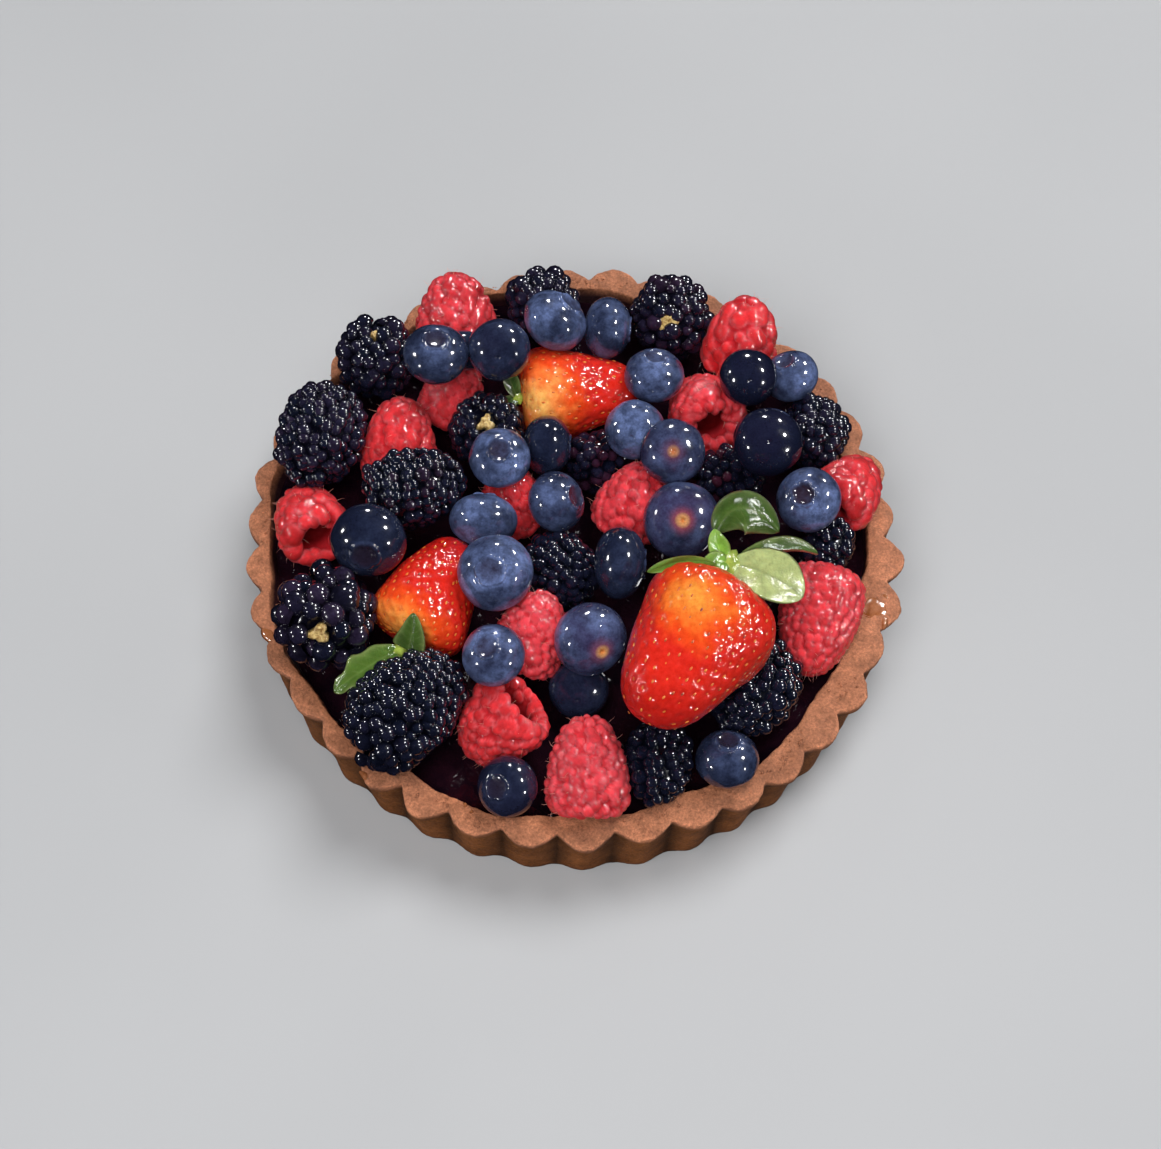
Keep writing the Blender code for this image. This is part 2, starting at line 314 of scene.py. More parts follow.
# The lip's outer edge is painted lighter: a painted highlight where its rounded edge catches the light.
edge_highlight = np.exp(-(((ring_number - LIP_EDGE_RING) / 1.3) ** 2))
crust_colour_and_shade = crust_colour_and_shade * (1 + 0.35 * edge_highlight)[:, None]
crust_colour_and_shade = crust_colour_and_shade + (wall - crust_colour_and_shade) * below_lip[:, None]
# The inner wall just below the lip is painted near black: partly a jelly stain and partly painted shade in the gap
# between lip and jelly.
stained_and_shaded = np.clip((LIP_HEIGHT - 0.2 * MM - points[:, 2]) / (1.5 * MM), 0, 1) * (ring_number < LIP_FIRST_RING)
crust_colour_and_shade = crust_colour_and_shade + (JELLY_STAIN_AND_SHADE - crust_colour_and_shade) * stained_and_shaded[:, None]
paint(crust, "crust_colour_and_shade", crust_colour_and_shade)
serve(crust, "shortcrust", "shell")

# ---------------------------------------------------------------------------------------------------------
# The filling. Dark berry jelly is poured in warm and sets level, so it climbs a little at the crust and is
# never quite flat between the berries.
# ---------------------------------------------------------------------------------------------------------
JELLY_EDGE_HEIGHT = 18.2 * MM
JELLY_CROWN_HEIGHT = 19.8 * MM
JELLY_COLUMNS = 160


def jelly_points():
    shares = np.concatenate([np.linspace(0.04, 0.9, 26), np.linspace(0.92, 1, 8)])
    angle = np.arange(JELLY_COLUMNS) / JELLY_COLUMNS * math.tau
    around = np.column_stack([np.cos(angle), np.sin(angle), np.zeros(JELLY_COLUMNS)])
    edge = INNER_FOOT_RADIUS + 0.75 * (inner_lip(angle) - INNER_FOOT_RADIUS) + 0.3 * MM
    points = [(0, 0, JELLY_CROWN_HEIGHT)]
    for share in shares:
        height = JELLY_CROWN_HEIGHT + (JELLY_EDGE_HEIGHT - JELLY_CROWN_HEIGHT) * share**2
        climb = 1.3 * MM * max(0, (share - 0.93) / 0.07) ** 2
        points.extend(around * (edge * share)[:, None] + (0, 0, height + climb))
    for radius in (INNER_FOOT_RADIUS + 1.0 * MM, 40 * MM):
        points.extend(around * radius + (0, 0, INNER_FLOOR_HEIGHT + 2 * MM))
    points.append((0, 0, INNER_FLOOR_HEIGHT + 2 * MM))
    points = np.array(points)
    top = points[:, 2] > JELLY_EDGE_HEIGHT - 1 * MM
    points[:, 2] += np.where(top, 0.7 * MM * lumps(points, 9 * MM, 6) + 0.35 * MM * lumps(points, 3.5 * MM, 7), 0)
    return points, len(shares) + 2


def jelly_material():
    recipe = Recipe(
        "set_berry_jelly", Roughness=0.5, Coat_Weight=0.6, Coat_Roughness=0.04, Specular_IOR_Level=0.0
    )
    stain = recipe.ramp(recipe.grain(7 * MM), (0.35, (0.004, 0.0015, 0.004)), (0.7, (0.016, 0.004, 0.008)))
    return recipe.finish(Base_Color=stain, Normal=recipe.bumps(recipe.grain(1.5 * MM, 2), 0.15 * MM))


points, ring_count = jelly_points()
jelly = mesh_piece("berry_jelly", points, turned_faces(ring_count, JELLY_COLUMNS), jelly_material())
serve(jelly, "set_filling", "filling")

# ---------------------------------------------------------------------------------------------------------
# Crumbs and spilt glaze on the lip. Trimming the dough leaves loose granules on its cut face. The warm glaze
# that was brushed over the berries ran onto the lip in a few places and set there as amber drops.
# ---------------------------------------------------------------------------------------------------------
Spill = namedtuple("Spill", "radius azimuth reach width height")
SPILLS = (
    Spill(74.2, 349, 3.4, 4.2, 0.9),
    Spill(76.4, 352, 1.2, 1.6, 0.7),
    Spill(77.4, 347, 1.1, 1.9, 0.7),
    Spill(77.4, 203, 1.9, 3.0, 0.8),
    Spill(79.0, 199, 0.8, 0.9, 0.5),
    Spill(79.2, 235, 0.9, 1.5, 0.6),
    Spill(73.9, 253, 0.5, 0.6, 0.4),
    Spill(75.0, 254.5, 0.4, 0.5, 0.4),
    Spill(75.6, 60, 1.4, 2.2, 0.6),
)
SPILL_COLUMNS = 28
SPILL_RINGS = 8
CRUMB_COUNT = 420


def polar_place(radius, azimuth, height):
    azimuth = math.radians(azimuth)
    return np.array((radius * math.cos(azimuth), radius * math.sin(azimuth), height))


def spill_points(spill, seed):
    """A drop of glaze that lies on the lip: flat underside, round shoulders and a ragged outline."""
    outward = polar_place(1, spill.azimuth, 0)
    beside = np.array((-outward[1], outward[0], 0))
    centre = polar_place(spill.radius, spill.azimuth, 24)
    points = [centre + (0, 0, spill.height)]
    for ring in range(1, SPILL_RINGS + 1):
        share = ring / SPILL_RINGS
        for column in range(SPILL_COLUMNS):
            angle = column / SPILL_COLUMNS * math.tau
            ragged = 1 + 0.16 * math.sin(2 * angle + seed) + 0.12 * math.sin(3 * angle + 2 * seed)
            side = outward * math.cos(angle) * spill.reach + beside * math.sin(angle) * spill.width
            rise = spill.height * (1 - share**2.4) - 0.3 * share**6
            points.append(centre + side * ragged * share + (0, 0, rise))
    points.append(centre - (0, 0, 0.6))
    return np.array(points) * MM


def crumb_points(centre, size):
    """A granule: an uneven eight-sided lump."""
    corners = np.array(((0, 0, 1), (1, 0, 0), (0, 1, 0), (-1, 0, 0), (0, -1, 0), (0, 0, -1)))
    return centre + corners * size * rng.uniform(0.6, 1.2, (6, 3))


def glaze_material():
    recipe = Recipe("set_glaze", Roughness=0.25, Coat_Weight=1.0, Coat_Roughness=0.03, Specular_IOR_Level=0.2)
    amber = recipe.ramp(recipe.grain(2 * MM), (0.35, (0.22, 0.06, 0.014)), (0.65, (0.42, 0.16, 0.07)))
    wet = recipe.bumps(recipe.grain(1.2 * MM, 2), 0.12 * MM)
    return recipe.finish(Base_Color=amber, Coat_Normal=wet)


rng = np.random.default_rng(5)
set_glaze = glaze_material()
for number, spill in enumerate(SPILLS, 1):
    drop = mesh_piece(
        f"glaze_drop_{number:02d}", spill_points(spill, number), turned_faces(SPILL_RINGS, SPILL_COLUMNS), set_glaze
    )
    serve(drop, "set_filling")

granules, granule_faces = [], []
for _ in range(CRUMB_COUNT):
    azimuth = rng.uniform(0, 360)
    inner_edge = inner_lip(math.radians(azimuth))
    outer_edge = LIP_RADIUS - LIP_FLUTE_DEPTH * (1 - abs(math.cos(flute_phase(math.radians(azimuth)))))
    radius = inner_edge + (outer_edge - inner_edge) * rng.uniform(0.2, 0.75)
    centre = polar_place(radius, azimuth, LIP_HEIGHT + rng.uniform(0, 0.3) * MM)
    granule_faces.extend(tuple(len(granules) + index for index in face) for face in turned_faces(1, 4))
    granules.extend(crumb_points(centre, rng.uniform(0.18, 0.42) * MM))
crumbs = mesh_piece("crust_crumbs", granules, granule_faces, crust.data.materials[0])
paint(crumbs, "crust_colour_and_shade", np.tile(LIP_BROWN * 1.1, (len(granules), 1)))
serve(crumbs, "shortcrust")

# ---------------------------------------------------------------------------------------------------------
# Blueberries. Each is a slightly flattened ball with a five-lobed crown at one end and a small stem scar at
# the other. The waxy bloom is pale where nobody touched it and rubbed to near black where they did.
# ---------------------------------------------------------------------------------------------------------
Blueberry = namedtuple("Blueberry", "heading tilt width length bloom purple halo crown")
BLUEBERRIES = (
    Blueberry(90, -40, 14, 12, 0.14, 0.1, 0, 0.2),
    Blueberry(225, 55, 14, 12, 0.08, 0.1, 0, 0.1),
    Blueberry(95, 65, 14.5, 12.5, 0.3, 0, 0, 0.3),
    Blueberry(150, 65, 13.5, 11.5, 0.7, 0.1, 0, 0.3),
    Blueberry(90, 15, 16, 12.5, 1.0, 0, 0, 0.2),
    Blueberry(0, 0, 17, 12.5, 0.12, 0, 0, 0.2),
    Blueberry(80, -40, 14.5, 12.5, 0.8, 0, 0, 0.2),
    Blueberry(0, 0, 14.5, 12, 0.08, 0, 0, 0.2),
    Blueberry(90, 0, 11, 9.5, 0.3, 0, 0, 0.2),
    Blueberry(355, 40, 14.5, 12.5, 0.45, 0.1, 0, 0.4),
    Blueberry(120, -35, 17, 14.5, 0.7, 0.7, 0.6, 0.2),
    Blueberry(225, 65, 15.5, 13, 0.78, 0.1, 0, 1.0),
    Blueberry(90, -60, 16.5, 14, 0.02, 0.1, 0, 0.1),
    Blueberry(90, 70, 14.5, 12.5, 0.7, 0.1, 0, 0.3),
    Blueberry(90, -60, 18, 15, 0.42, 0.8, 1, 0.2),
    Blueberry(0, 0, 15, 12, 0.5, 0, 0, 0.3),
    Blueberry(35, 45, 16, 13.5, 1.0, 0, 0, 0.3),
    Blueberry(270, 80, 14.5, 12, 1.0, 0, 0, 0.4),
    Blueberry(270, 30, 17.5, 14.5, 0.08, 0, 0, 0.3),
    Blueberry(90, -50, 14, 12.5, 0.02, 0.1, 0, 0.2),
    Blueberry(200, 75, 14.5, 12, 0.9, 0.2, 0, 0.5),
    Blueberry(90, -60, 15.5, 13, 0.4, 0.5, 0.3, 0.2),
    Blueberry(90, 85, 15.5, 12.5, 0.3, 0, 0, 0.3),
    Blueberry(250, 65, 17.5, 14, 1.0, 0.1, 0, 0.35),
    Blueberry(90, -40, 15, 13, 0.18, 0.1, 0, 0.2),
)
FULLNESS = 1.02
BLUEBERRY_COLUMNS = 60
BLUEBERRY_BODY_RINGS = 30


def lay(points, node, berry, fullness=FULLNESS):
    """Turns a berry from its own axis, far end up, to the way it lies, and centres it on its solid.

    The berries are a little fuller than their solids, so that they touch where the solids keep a gap.
    """
    heading, tilt = math.radians(berry.heading), math.radians(berry.tilt)
    turn = Matrix.Rotation(heading, 3, "Z") @ Matrix.Rotation(math.pi / 2 - tilt, 3, "Y")
    points = points @ np.array(turn).T * fullness
    low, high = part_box(node)
    return points + np.array((low + high) / 2) - (points.min(0) + points.max(0)) / 2


def blueberry_points(berry):
    """Points from inside the crown, over its lobes and down the body to the stem scar, with their zones."""
    half_width, half_length = berry.width / 2 * MM, berry.length / 2 * MM
    angle = np.arange(BLUEBERRY_COLUMNS) / BLUEBERRY_COLUMNS * math.tau
    lobe = (np.abs(np.cos(2.5 * angle))) ** 0.7
    sunk = 0.94 - 0.18 * berry.crown
    inside = 0.35 + 0.65 * berry.crown
    star = lobe * (0.35 + 0.65 * berry.crown)
    rings = [(0.1, sunk, inside), (0.2, sunk + 0.02 * berry.crown, inside)]
    rings.append((0.26 + 0.02 * lobe, 0.94 - 0.1 * berry.crown, 0.9 * inside))
    rings.append((0.3 + 0.04 * lobe, 0.92 + 0.05 * star, 0.5 * inside))
    rings.append((0.34 + 0.06 * lobe, 0.92 + 0.08 * star, 0.15 * inside))
    rings.append((0.37 + 0.06 * lobe, 0.89 + 0.07 * star, 0))
    rings.append((0.4 + 0.03 * lobe, 0.86 + 0.03 * star, 0))
    for share in np.linspace(0.145, 0.965, BLUEBERRY_BODY_RINGS):
        polar = math.pi * share
        rings.append((math.sin(polar) ** 0.94, 0.97 * math.cos(polar), 0))
    rings.append((0.07, -0.95, 0))
    rings.append((0.04, -0.92, 0))
    points = [(0, 0, sunk * half_length)]
    crown = [inside]
    for radius, height, zone in rings:
        radius = np.broadcast_to(radius, angle.shape) * half_width
        height = np.broadcast_to(height, angle.shape) * half_length
        points.extend(np.column_stack([radius * np.cos(angle), radius * np.sin(angle), height]))
        crown.extend([zone] * BLUEBERRY_COLUMNS)
    points.append((0, 0, -0.9 * half_length))
    crown.append(0.0)
    return np.array(points), np.array(crown), len(rings)


def blueberry_material():
    recipe = Recipe("blueberry_skin", Coat_Weight=0.9, Coat_Roughness=0.035, Specular_IOR_Level=0.05)
    wax = recipe.painted("bloom", "Fac")
    rubbed = recipe.ramp(recipe.grain(2.2 * MM, 7, 0.62), (0.36, 0.36), (0.6, 1.0))
    smears = recipe.ramp(recipe.grain(6 * MM, 3, 0.5), (0.35, 0.35), (0.6, 1.0))
    wax = recipe.maths("MULTIPLY", wax, rubbed)
    wax = recipe.maths("MULTIPLY", wax, smears)
    skin = recipe.painted("skin")
    colour = recipe.mix(wax, skin, (0.155, 0.215, 0.44))
    freckles = recipe.ramp(recipe.grain(0.5 * MM, 2, 0.5), (0.35, 0.85), (0.65, 1.12))
    colour = recipe.mix(1.0, colour, freckles, "MULTIPLY")
    roughness = recipe.ramp(wax, (0.0, 0.22), (1.0, 0.55))
    return recipe.finish(
        Base_Color=colour, Roughness=roughness, Normal=recipe.bumps(recipe.grain(1.2 * MM, 3), 0.06 * MM)
    )


SKIN_NAVY = np.array((0.006, 0.008, 0.022))
SKIN_PURPLE = np.array((0.032, 0.018, 0.06))
CROWN_BROWN = np.array((0.022, 0.008, 0.012))
HALO_RED = np.array((0.46, 0.085, 0.1))
SCAR_ORANGE = np.array((0.62, 0.2, 0.05))
SCAR_PALE = np.array((0.6, 0.36, 0.12))

skin_material = blueberry_material()
for number, berry in enumerate(BLUEBERRIES, 1):
    node = f"blueberry_{number:02d}"
    points, crown, ring_count = blueberry_points(berry)
    across = np.hypot(points[:, 0], points[:, 1])
    at_stem = points[:, 2] < 0
    off_stem = np.where(at_stem, across, 1)
    points = points * (1 + 0.03 * lumps(points, 6 * MM, number) + 0.008 * lumps(points, 2 * MM, number))[:, None]
    skin = SKIN_NAVY + (SKIN_PURPLE - SKIN_NAVY) * (
        berry.purple * np.clip(0.55 + lumps(points, 7 * MM, number + 30), 0, 1)
    )[:, None]
    halo = berry.halo * np.clip(1.15 - off_stem / (3.4 * MM), 0, 1) ** 1.5
    skin = skin + (HALO_RED - skin) * halo[:, None]
    scar = np.clip(1.6 - off_stem / (0.8 * MM), 0, 1) * min(1, berry.halo * 2)
    skin = skin + (SCAR_ORANGE - skin) * scar[:, None]
    pale = np.clip(1.6 - np.abs(off_stem - 0.95 * MM) / (0.35 * MM), 0, 1) * min(1, berry.halo * 1.5)
    skin = skin + (SCAR_PALE - skin) * (0.6 * pale)[:, None]
    skin = skin + (CROWN_BROWN - skin) * crown[:, None]
    bloom = berry.bloom * np.clip(0.85 + 0.8 * lumps(points, 8 * MM, number + 60), 0.1, 1.25)
    bloom = bloom * (1 - np.clip(halo * 1.4 + scar, 0, 1)) * (1 - 0.85 * crown)
    rim = np.clip(1 - np.abs(across / (berry.width / 2 * MM) - 0.42) / 0.09, 0, 1) * (points[:, 2] > 0)
    bloom = np.clip(bloom + 0.25 * rim * min(1, 3 * berry.bloom), 0, 1)
    piece = mesh_piece(
        "glazed_" + node,
        lay(points, node, berry),
        turned_faces(ring_count, BLUEBERRY_COLUMNS),
        skin_material,
    )
    paint(piece, "skin", skin)
    paint(piece, "bloom", bloom)
    serve(piece, "blueberry", node)

# ---------------------------------------------------------------------------------------------------------
# Brambles. Each is a cluster of small juicy drupelets in rings round a pale core, which shows as a dry plug
# where the stem came away. The drupelets are nearly black, some still reddish, and very glossy.
# ---------------------------------------------------------------------------------------------------------
Bramble = namedtuple("Bramble", "heading tilt width length drupelet taper plug purple red")
BRAMBLES = (
    Bramble(270, 10, 16, 20, 3.1, 0.2, 0, 0.1, 0),
    Bramble(0, 30, 15, 18, 2.9, 0.1, 0, 0.2, 0.5),
    Bramble(0, 70, 14.5, 16, 2.9, 0.1, 0, 0.4, 0.3),
    Bramble(300, 45, 19, 20, 3.1, 0.2, 0, 0.1, 0),
    Bramble(280, 20, 16.5, 19, 2.8, 0.1, 0, 0.3, 0),
    Bramble(240, 10, 20.5, 24, 3.3, 0.2, 0, 0.1, 0),
    Bramble(60, 20, 12.5, 13.5, 2.6, 0.1, 0, 0.1, 0),
    Bramble(75, -45, 20.5, 19.5, 3.3, 0.1, 1.3, 0.5, 0.1),
    Bramble(270, 60, 18.5, 17.5, 3.4, 0.1, 0, 0.4, 0),
    Bramble(90, -42, 23.5, 25.5, 4.8, 0.1, 0.9, 0.7, 0),
    Bramble(90, -75, 18.5, 17, 2.8, 0.1, 1, 0.2, 0),
    Bramble(270, -80, 20, 19.5, 3.3, 0.1, 0.4, 0.3, 0),
    Bramble(255, -5, 21.5, 25.5, 2.8, 0.1, 0, 0.5, 0),
    Bramble(50, 5, 24, 31, 3.8, 0.5, 0, 0.12, 0),
    Bramble(20, 0, 19, 24.5, 2.5, 0.1, 0, 0.2, 0.1),
)
BRAMBLE_OUTLINE = (
    (0, 1), (0.26, 0.96), (0.5, 0.84), (0.72, 0.62), (0.9, 0.3), (0.98, 0), (0.96, -0.3),
    (0.88, -0.58), (0.7, -0.82), (0.45, -0.94), (0.2, -0.86), (0, -0.8),
)
DOME_ANGLES = (0, 30, 58, 84, 110)
CORE_COLUMNS = 24


def smooth_outline(stations, width, length):
    """A fine outline from the far end to the stem end, through the stations: (radius, height), run, outward."""
    corners = np.array(stations) * (width / 2, length / 2)
    line = []
    for step in np.arange(0, len(corners) - 1, 0.05):
        index = int(step)
        t = step - index
        before, start = corners[max(index - 1, 0)], corners[index]
        end, after = corners[index + 1], corners[min(index + 2, len(corners) - 1)]
        bend = 2 * start + (end - before) * t + (2 * before - 5 * start + 4 * end - after) * t**2
        line.append((bend + (3 * start - before - 3 * end + after) * t**3) / 2)
    line.append(corners[-1])
    line = np.array(line)
    line[:, 0] = np.maximum(line[:, 0], 0)
    run = np.concatenate([[0], np.cumsum(np.linalg.norm(np.diff(line, axis=0), axis=1))])
    ahead = np.gradient(line, axis=0)
    ahead /= np.linalg.norm(ahead, axis=1)[:, None]
    return line, run, np.column_stack([-ahead[:, 1], ahead[:, 0]])


def along_outline(outline, places):
    """The outline's points and outward directions at these places along its run."""
    line, run, outward = outline
    points = np.column_stack([np.interp(places, run, line[:, side]) for side in (0, 1)])
    normals = np.column_stack([np.interp(places, run, outward[:, side]) for side in (0, 1)])
    return points, normals / np.linalg.norm(normals, axis=1)[:, None]


def drupelet_seats(outline, size, taper, loose, covered, rng):
    """Where drupelets sit, in rings offset like bricks, finer towards the far end: (centre, normal, size)."""
    total = outline[1][-1] * covered
    seats = []
    place = size * 0.05
    while place < total:
        here = size * (1 - taper * (1 - place / total))
        (radius, height), (out, up) = (values[0] for values in along_outline(outline, [place]))
        count = max(1, round(math.tau * radius / here))
        start = rng.uniform(0, math.tau)
        for step in range(count):
            angle = start + (step + rng.normal(0, loose)) / count * math.tau
            around = np.array((math.cos(angle), math.sin(angle), 0))
            normal = around * out + np.array((0, 0, up))
            centre = around * radius + np.array((0, 0, height + rng.normal(0, loose) * here))
            centre = centre + normal * rng.normal(0, loose * 0.5) * here
            tip = np.array((0, 0, 0.25)) + rng.normal(0, loose, 3)
            normal = normal / np.linalg.norm(normal) + tip
            seats.append((centre, normal / np.linalg.norm(normal), here * (1 + rng.normal(0, loose * 0.8))))
        place += here * 0.84
    return seats


def dome(columns):
    """A unit cap that reaches a little past its equator, pole up."""
    points = [(0, 0, 1)]
    for ring, polar in enumerate(DOME_ANGLES[1:]):
        polar = math.radians(polar)
        for column in range(columns):
            angle = (column + ring % 2 / 2) / columns * math.tau
            points.append((math.sin(polar) * math.cos(angle), math.sin(polar) * math.sin(angle), math.cos(polar)))
    faces = [(0, 1 + column, 1 + (column + 1) % columns) for column in range(columns)]
    return np.array(points), faces + ring_faces(1, len(DOME_ANGLES) - 1, columns)


def berry_body(stations, width, length, inset):
    """The turned body that carries the drupelets, set in under them."""
    outline = smooth_outline(stations, width - 2 * inset, length - 2 * inset)
    rings, _ = along_outline(outline, np.arange(0.5 * MM, outline[1][-1], 1.2 * MM))
    angle = np.arange(CORE_COLUMNS) / CORE_COLUMNS * math.tau
    points = [(0, 0, outline[0][0][1])]
    for radius, height in rings:
        points.extend(np.column_stack([radius * np.cos(angle), radius * np.sin(angle), np.full(CORE_COLUMNS, height)]))
    points.append((0, 0, outline[0][-1][1]))
    return np.array(points), turned_faces(len(rings), CORE_COLUMNS)


def drupelet_berry(stations, berry, columns, spread, rise, loose, covered, rng):
    """A body with its drupelets: points, faces, the height up each drupelet, and a number for each drupelet."""
    size = berry.drupelet * MM
    inset = size * rise * 0.75
    outline = smooth_outline(stations, berry.width * MM - 2 * inset, berry.length * MM - 2 * inset)
    unit, unit_faces = dome(columns)
    body, faces = berry_body(stations, berry.width * MM, berry.length * MM, inset + 0.1 * size)
    points = list(body)
    height = [-0.35] * len(body)
    shade = [0.3] * len(body)
    for centre, normal, wide in drupelet_seats(outline, size, berry.taper, loose, covered, rng):
        turn = np.array(Vector(normal).to_track_quat("Z", "Y").to_matrix())
        shaped = unit * (wide * spread, wide * spread * rng.uniform(0.88, 1.06), wide * rise)
        first = len(points)
        points.extend(shaped @ turn.T + centre)
        faces.extend(tuple(first + index for index in face) for face in unit_faces)
        height.extend(unit[:, 2])
        shade.extend([rng.uniform(0, 1)] * len(unit))
    return np.array(points), faces, np.array(height), np.array(shade)


def bramble_material():
    recipe = Recipe(
        "bramble_drupelets", Roughness=0.4, Coat_Weight=1.0, Coat_Roughness=0.03, Specular_IOR_Level=0.03
    )
    stain = recipe.ramp(recipe.grain(1.4 * MM), (0.3, 0.6), (0.7, 1.4))
    juice_and_shade = recipe.mix(1.0, recipe.painted("juice_and_shade"), stain, "MULTIPLY")
    dull = recipe.ramp(recipe.grain(3.2 * MM, 2), (0.46, 0.025), (0.6, 0.2))
    wet = recipe.bumps(recipe.grain(1.6 * MM, 1), 0.07 * MM)
    return recipe.finish(Base_Color=juice_and_shade, Normal=wet, Coat_Normal=wet, Coat_Roughness=dull)


def plug_material():
    recipe = Recipe("bramble_plug", Roughness=0.5, Coat_Weight=0.5, Coat_Roughness=0.1)
    fibre = recipe.ramp(recipe.grain(0.8 * MM), (0.35, (0.24, 0.12, 0.025)), (0.62, (0.72, 0.52, 0.2)))
    return recipe.finish(Base_Color=fibre, Normal=recipe.bumps(recipe.grain(0.5 * MM), 0.2 * MM))


BRAMBLE_BLACK = np.array((0.005, 0.0065, 0.017))
BRAMBLE_PURPLE = np.array((0.03, 0.018, 0.045))
BRAMBLE_RED = np.array((0.07, 0.008, 0.016))
PLUG_COLUMNS = 20

rng = np.random.default_rng(11)
juice_material = bramble_material()
stem_plug_material = plug_material()
for number, berry in enumerate(BRAMBLES, 1):
    node = f"bramble_{number:02d}"
    points, faces, height, shade = drupelet_berry(BRAMBLE_OUTLINE, berry, 11, 0.61, 0.62, 0.18, 0.93, rng)
    purple = (berry.purple * shade)[:, None]
    red = (berry.red * (shade > 0.75))[:, None]
    juice_and_shade = BRAMBLE_BLACK + (BRAMBLE_PURPLE - BRAMBLE_BLACK) * purple
    juice_and_shade = juice_and_shade + (BRAMBLE_RED - juice_and_shade) * red
    # Each drupelet is painted darker towards its base, and the core between drupelets darkest: painted shade in the
    # creases.
    juice_and_shade = juice_and_shade * (0.35 + 0.65 * np.clip(height + 0.2, 0, 1))[:, None]
    piece = mesh_piece("glazed_" + node, lay(points, node, berry), faces, juice_material)
    paint(piece, "juice_and_shade", juice_and_shade)
    serve(piece, "bramble", node)
    if berry.plug:
        angle = np.arange(PLUG_COLUMNS) / PLUG_COLUMNS * math.tau
        ragged = 1 + 0.28 * np.sin(3 * angle + number) + 0.16 * np.sin(5 * angle + 2 * number)
        stem = -berry.length / 2 * MM
        reach = berry.plug * berry.width * 0.1 * MM
        plug = [(0, 0, stem + 0.8 * MM)]
        for share, sink in ((0.45, 0.6), (0.8, 0.5), (1, 1.2), (0.9, 3.4)):
            ring = np.column_stack([np.cos(angle), np.sin(angle), np.zeros(PLUG_COLUMNS)])
            ring *= (reach * share * ragged)[:, None]
            ring[:, 2] = stem + sink * MM
            plug.extend(ring)
        plug.append((0, 0, stem + 3.6 * MM))
        plug = np.array(plug)
        plug += 0.3 * MM * np.column_stack([lumps(plug, 1.2 * MM, number + side) for side in (0, 5, 9)])
        faces = [face[::-1] for face in turned_faces(4, PLUG_COLUMNS)]
        both = lay(np.vstack([points, plug]), node, berry)
        plug_piece = mesh_piece(node + "_plug", both[len(points):], faces, stem_plug_material)
        serve(plug_piece, "bramble")

# ---------------------------------------------------------------------------------------------------------
# Raspberries. They pull off their core when picked, so each is a hollow thimble of small drupelets with a
# rounded lip. The skins are crimson and a little frosty, and fine hairs stand between the drupelets.
# ---------------------------------------------------------------------------------------------------------
Raspberry = namedtuple("Raspberry", "heading tilt width length drupelet uneven smooth pink mouth pinch rows")
RASPBERRIES = (
    Raspberry(115, -20, 18, 19, 3.4, 0.2, 0.4, 0.3, 0.66, 0, False),
    Raspberry(60, 50, 16, 17, 2.4, 0.1, 0.5, 0.5, 0.5, 0, False),
    Raspberry(90, 60, 16, 17, 2.4, 0.1, 0.5, 0.4, 0.5, 0, False),
    Raspberry(95, 30, 19.5, 23, 2.5, 0.15, 0, 0.6, 0.5, 0, False),
    Raspberry(215, -48, 20, 21, 2.6, 0.12, 0.1, 0.3, 0.78, 0.45, False),
    Raspberry(70, 30, 17.5, 20, 2.3, 0.12, 0.1, 0.7, 0.5, 0, False),
    Raspberry(105, -25, 19.5, 19.5, 2.6, 0.12, 0.1, 0.5, 0.56, 0, False),
    Raspberry(60, -15, 17.5, 19.5, 3.2, 0.2, 0.5, 0.3, 0.5, 0, False),
    Raspberry(260, -10, 20.5, 26, 2.5, 0.1, 0.3, 0.5, 0.5, 0, True),
    Raspberry(90, 45, 19, 22, 2.6, 0.12, 0.6, 0.3, 0.5, 0, False),
    Raspberry(95, 50, 21.5, 22.5, 2.8, 0.12, 0.35, 0.5, 0.5, 0, False),
    Raspberry(75, 60, 19, 20.5, 3.8, 0.2, 0.5, 0.2, 0.5, 0, False),
    Raspberry(60, 50, 18, 19, 2.5, 0.1, 0.3, 0.6, 0.5, 0, False),
)
RASPBERRY_OUTSIDE = (
    (0, 1), (0.22, 0.96), (0.42, 0.86), (0.6, 0.66), (0.74, 0.42), (0.86, 0.1), (0.94, -0.25), (0.97, -0.55),
    (0.93, -0.82),
)
RASPBERRY_COLUMNS = 132
RASPBERRY_ROW = 0.42 * MM
DRUPELET_BLEND = 6
GOLDEN_TURN = math.pi * (3 - math.sqrt(5))
HAIR_STEPS = 5
HAIR_COUNT = 45


def spiral_seats(outline, spacing, covered, loose):
    """Places in a spiral from the far end, an even spacing apart: (place, outward, down the side)."""
    line, run, _ = outline
    bands = math.pi * (line[1:, 0] + line[:-1, 0]) * np.diff(run)
    area = np.concatenate([[0], np.cumsum(bands)])
    total = np.interp(run[-1] * covered, run, area)
    count = int(total / spacing**2)
    places = np.interp((np.arange(count) + 0.5) / count * total, area, run)
    rings, normals = along_outline(outline, places)
    seats = []
    for index, ((radius, height), (out, up)) in enumerate(zip(rings, normals)):
        angle = index * GOLDEN_TURN + rng.normal(0, loose) * spacing / max(radius, spacing)
        around = np.array((math.cos(angle), math.sin(angle), 0))
        place = around * radius + np.array((0, 0, height + rng.normal(0, loose) * spacing))
        normal = around * out + np.array((0, 0, up))
        seats.append((place, normal, around * up - np.array((0, 0, out))))
    return seats


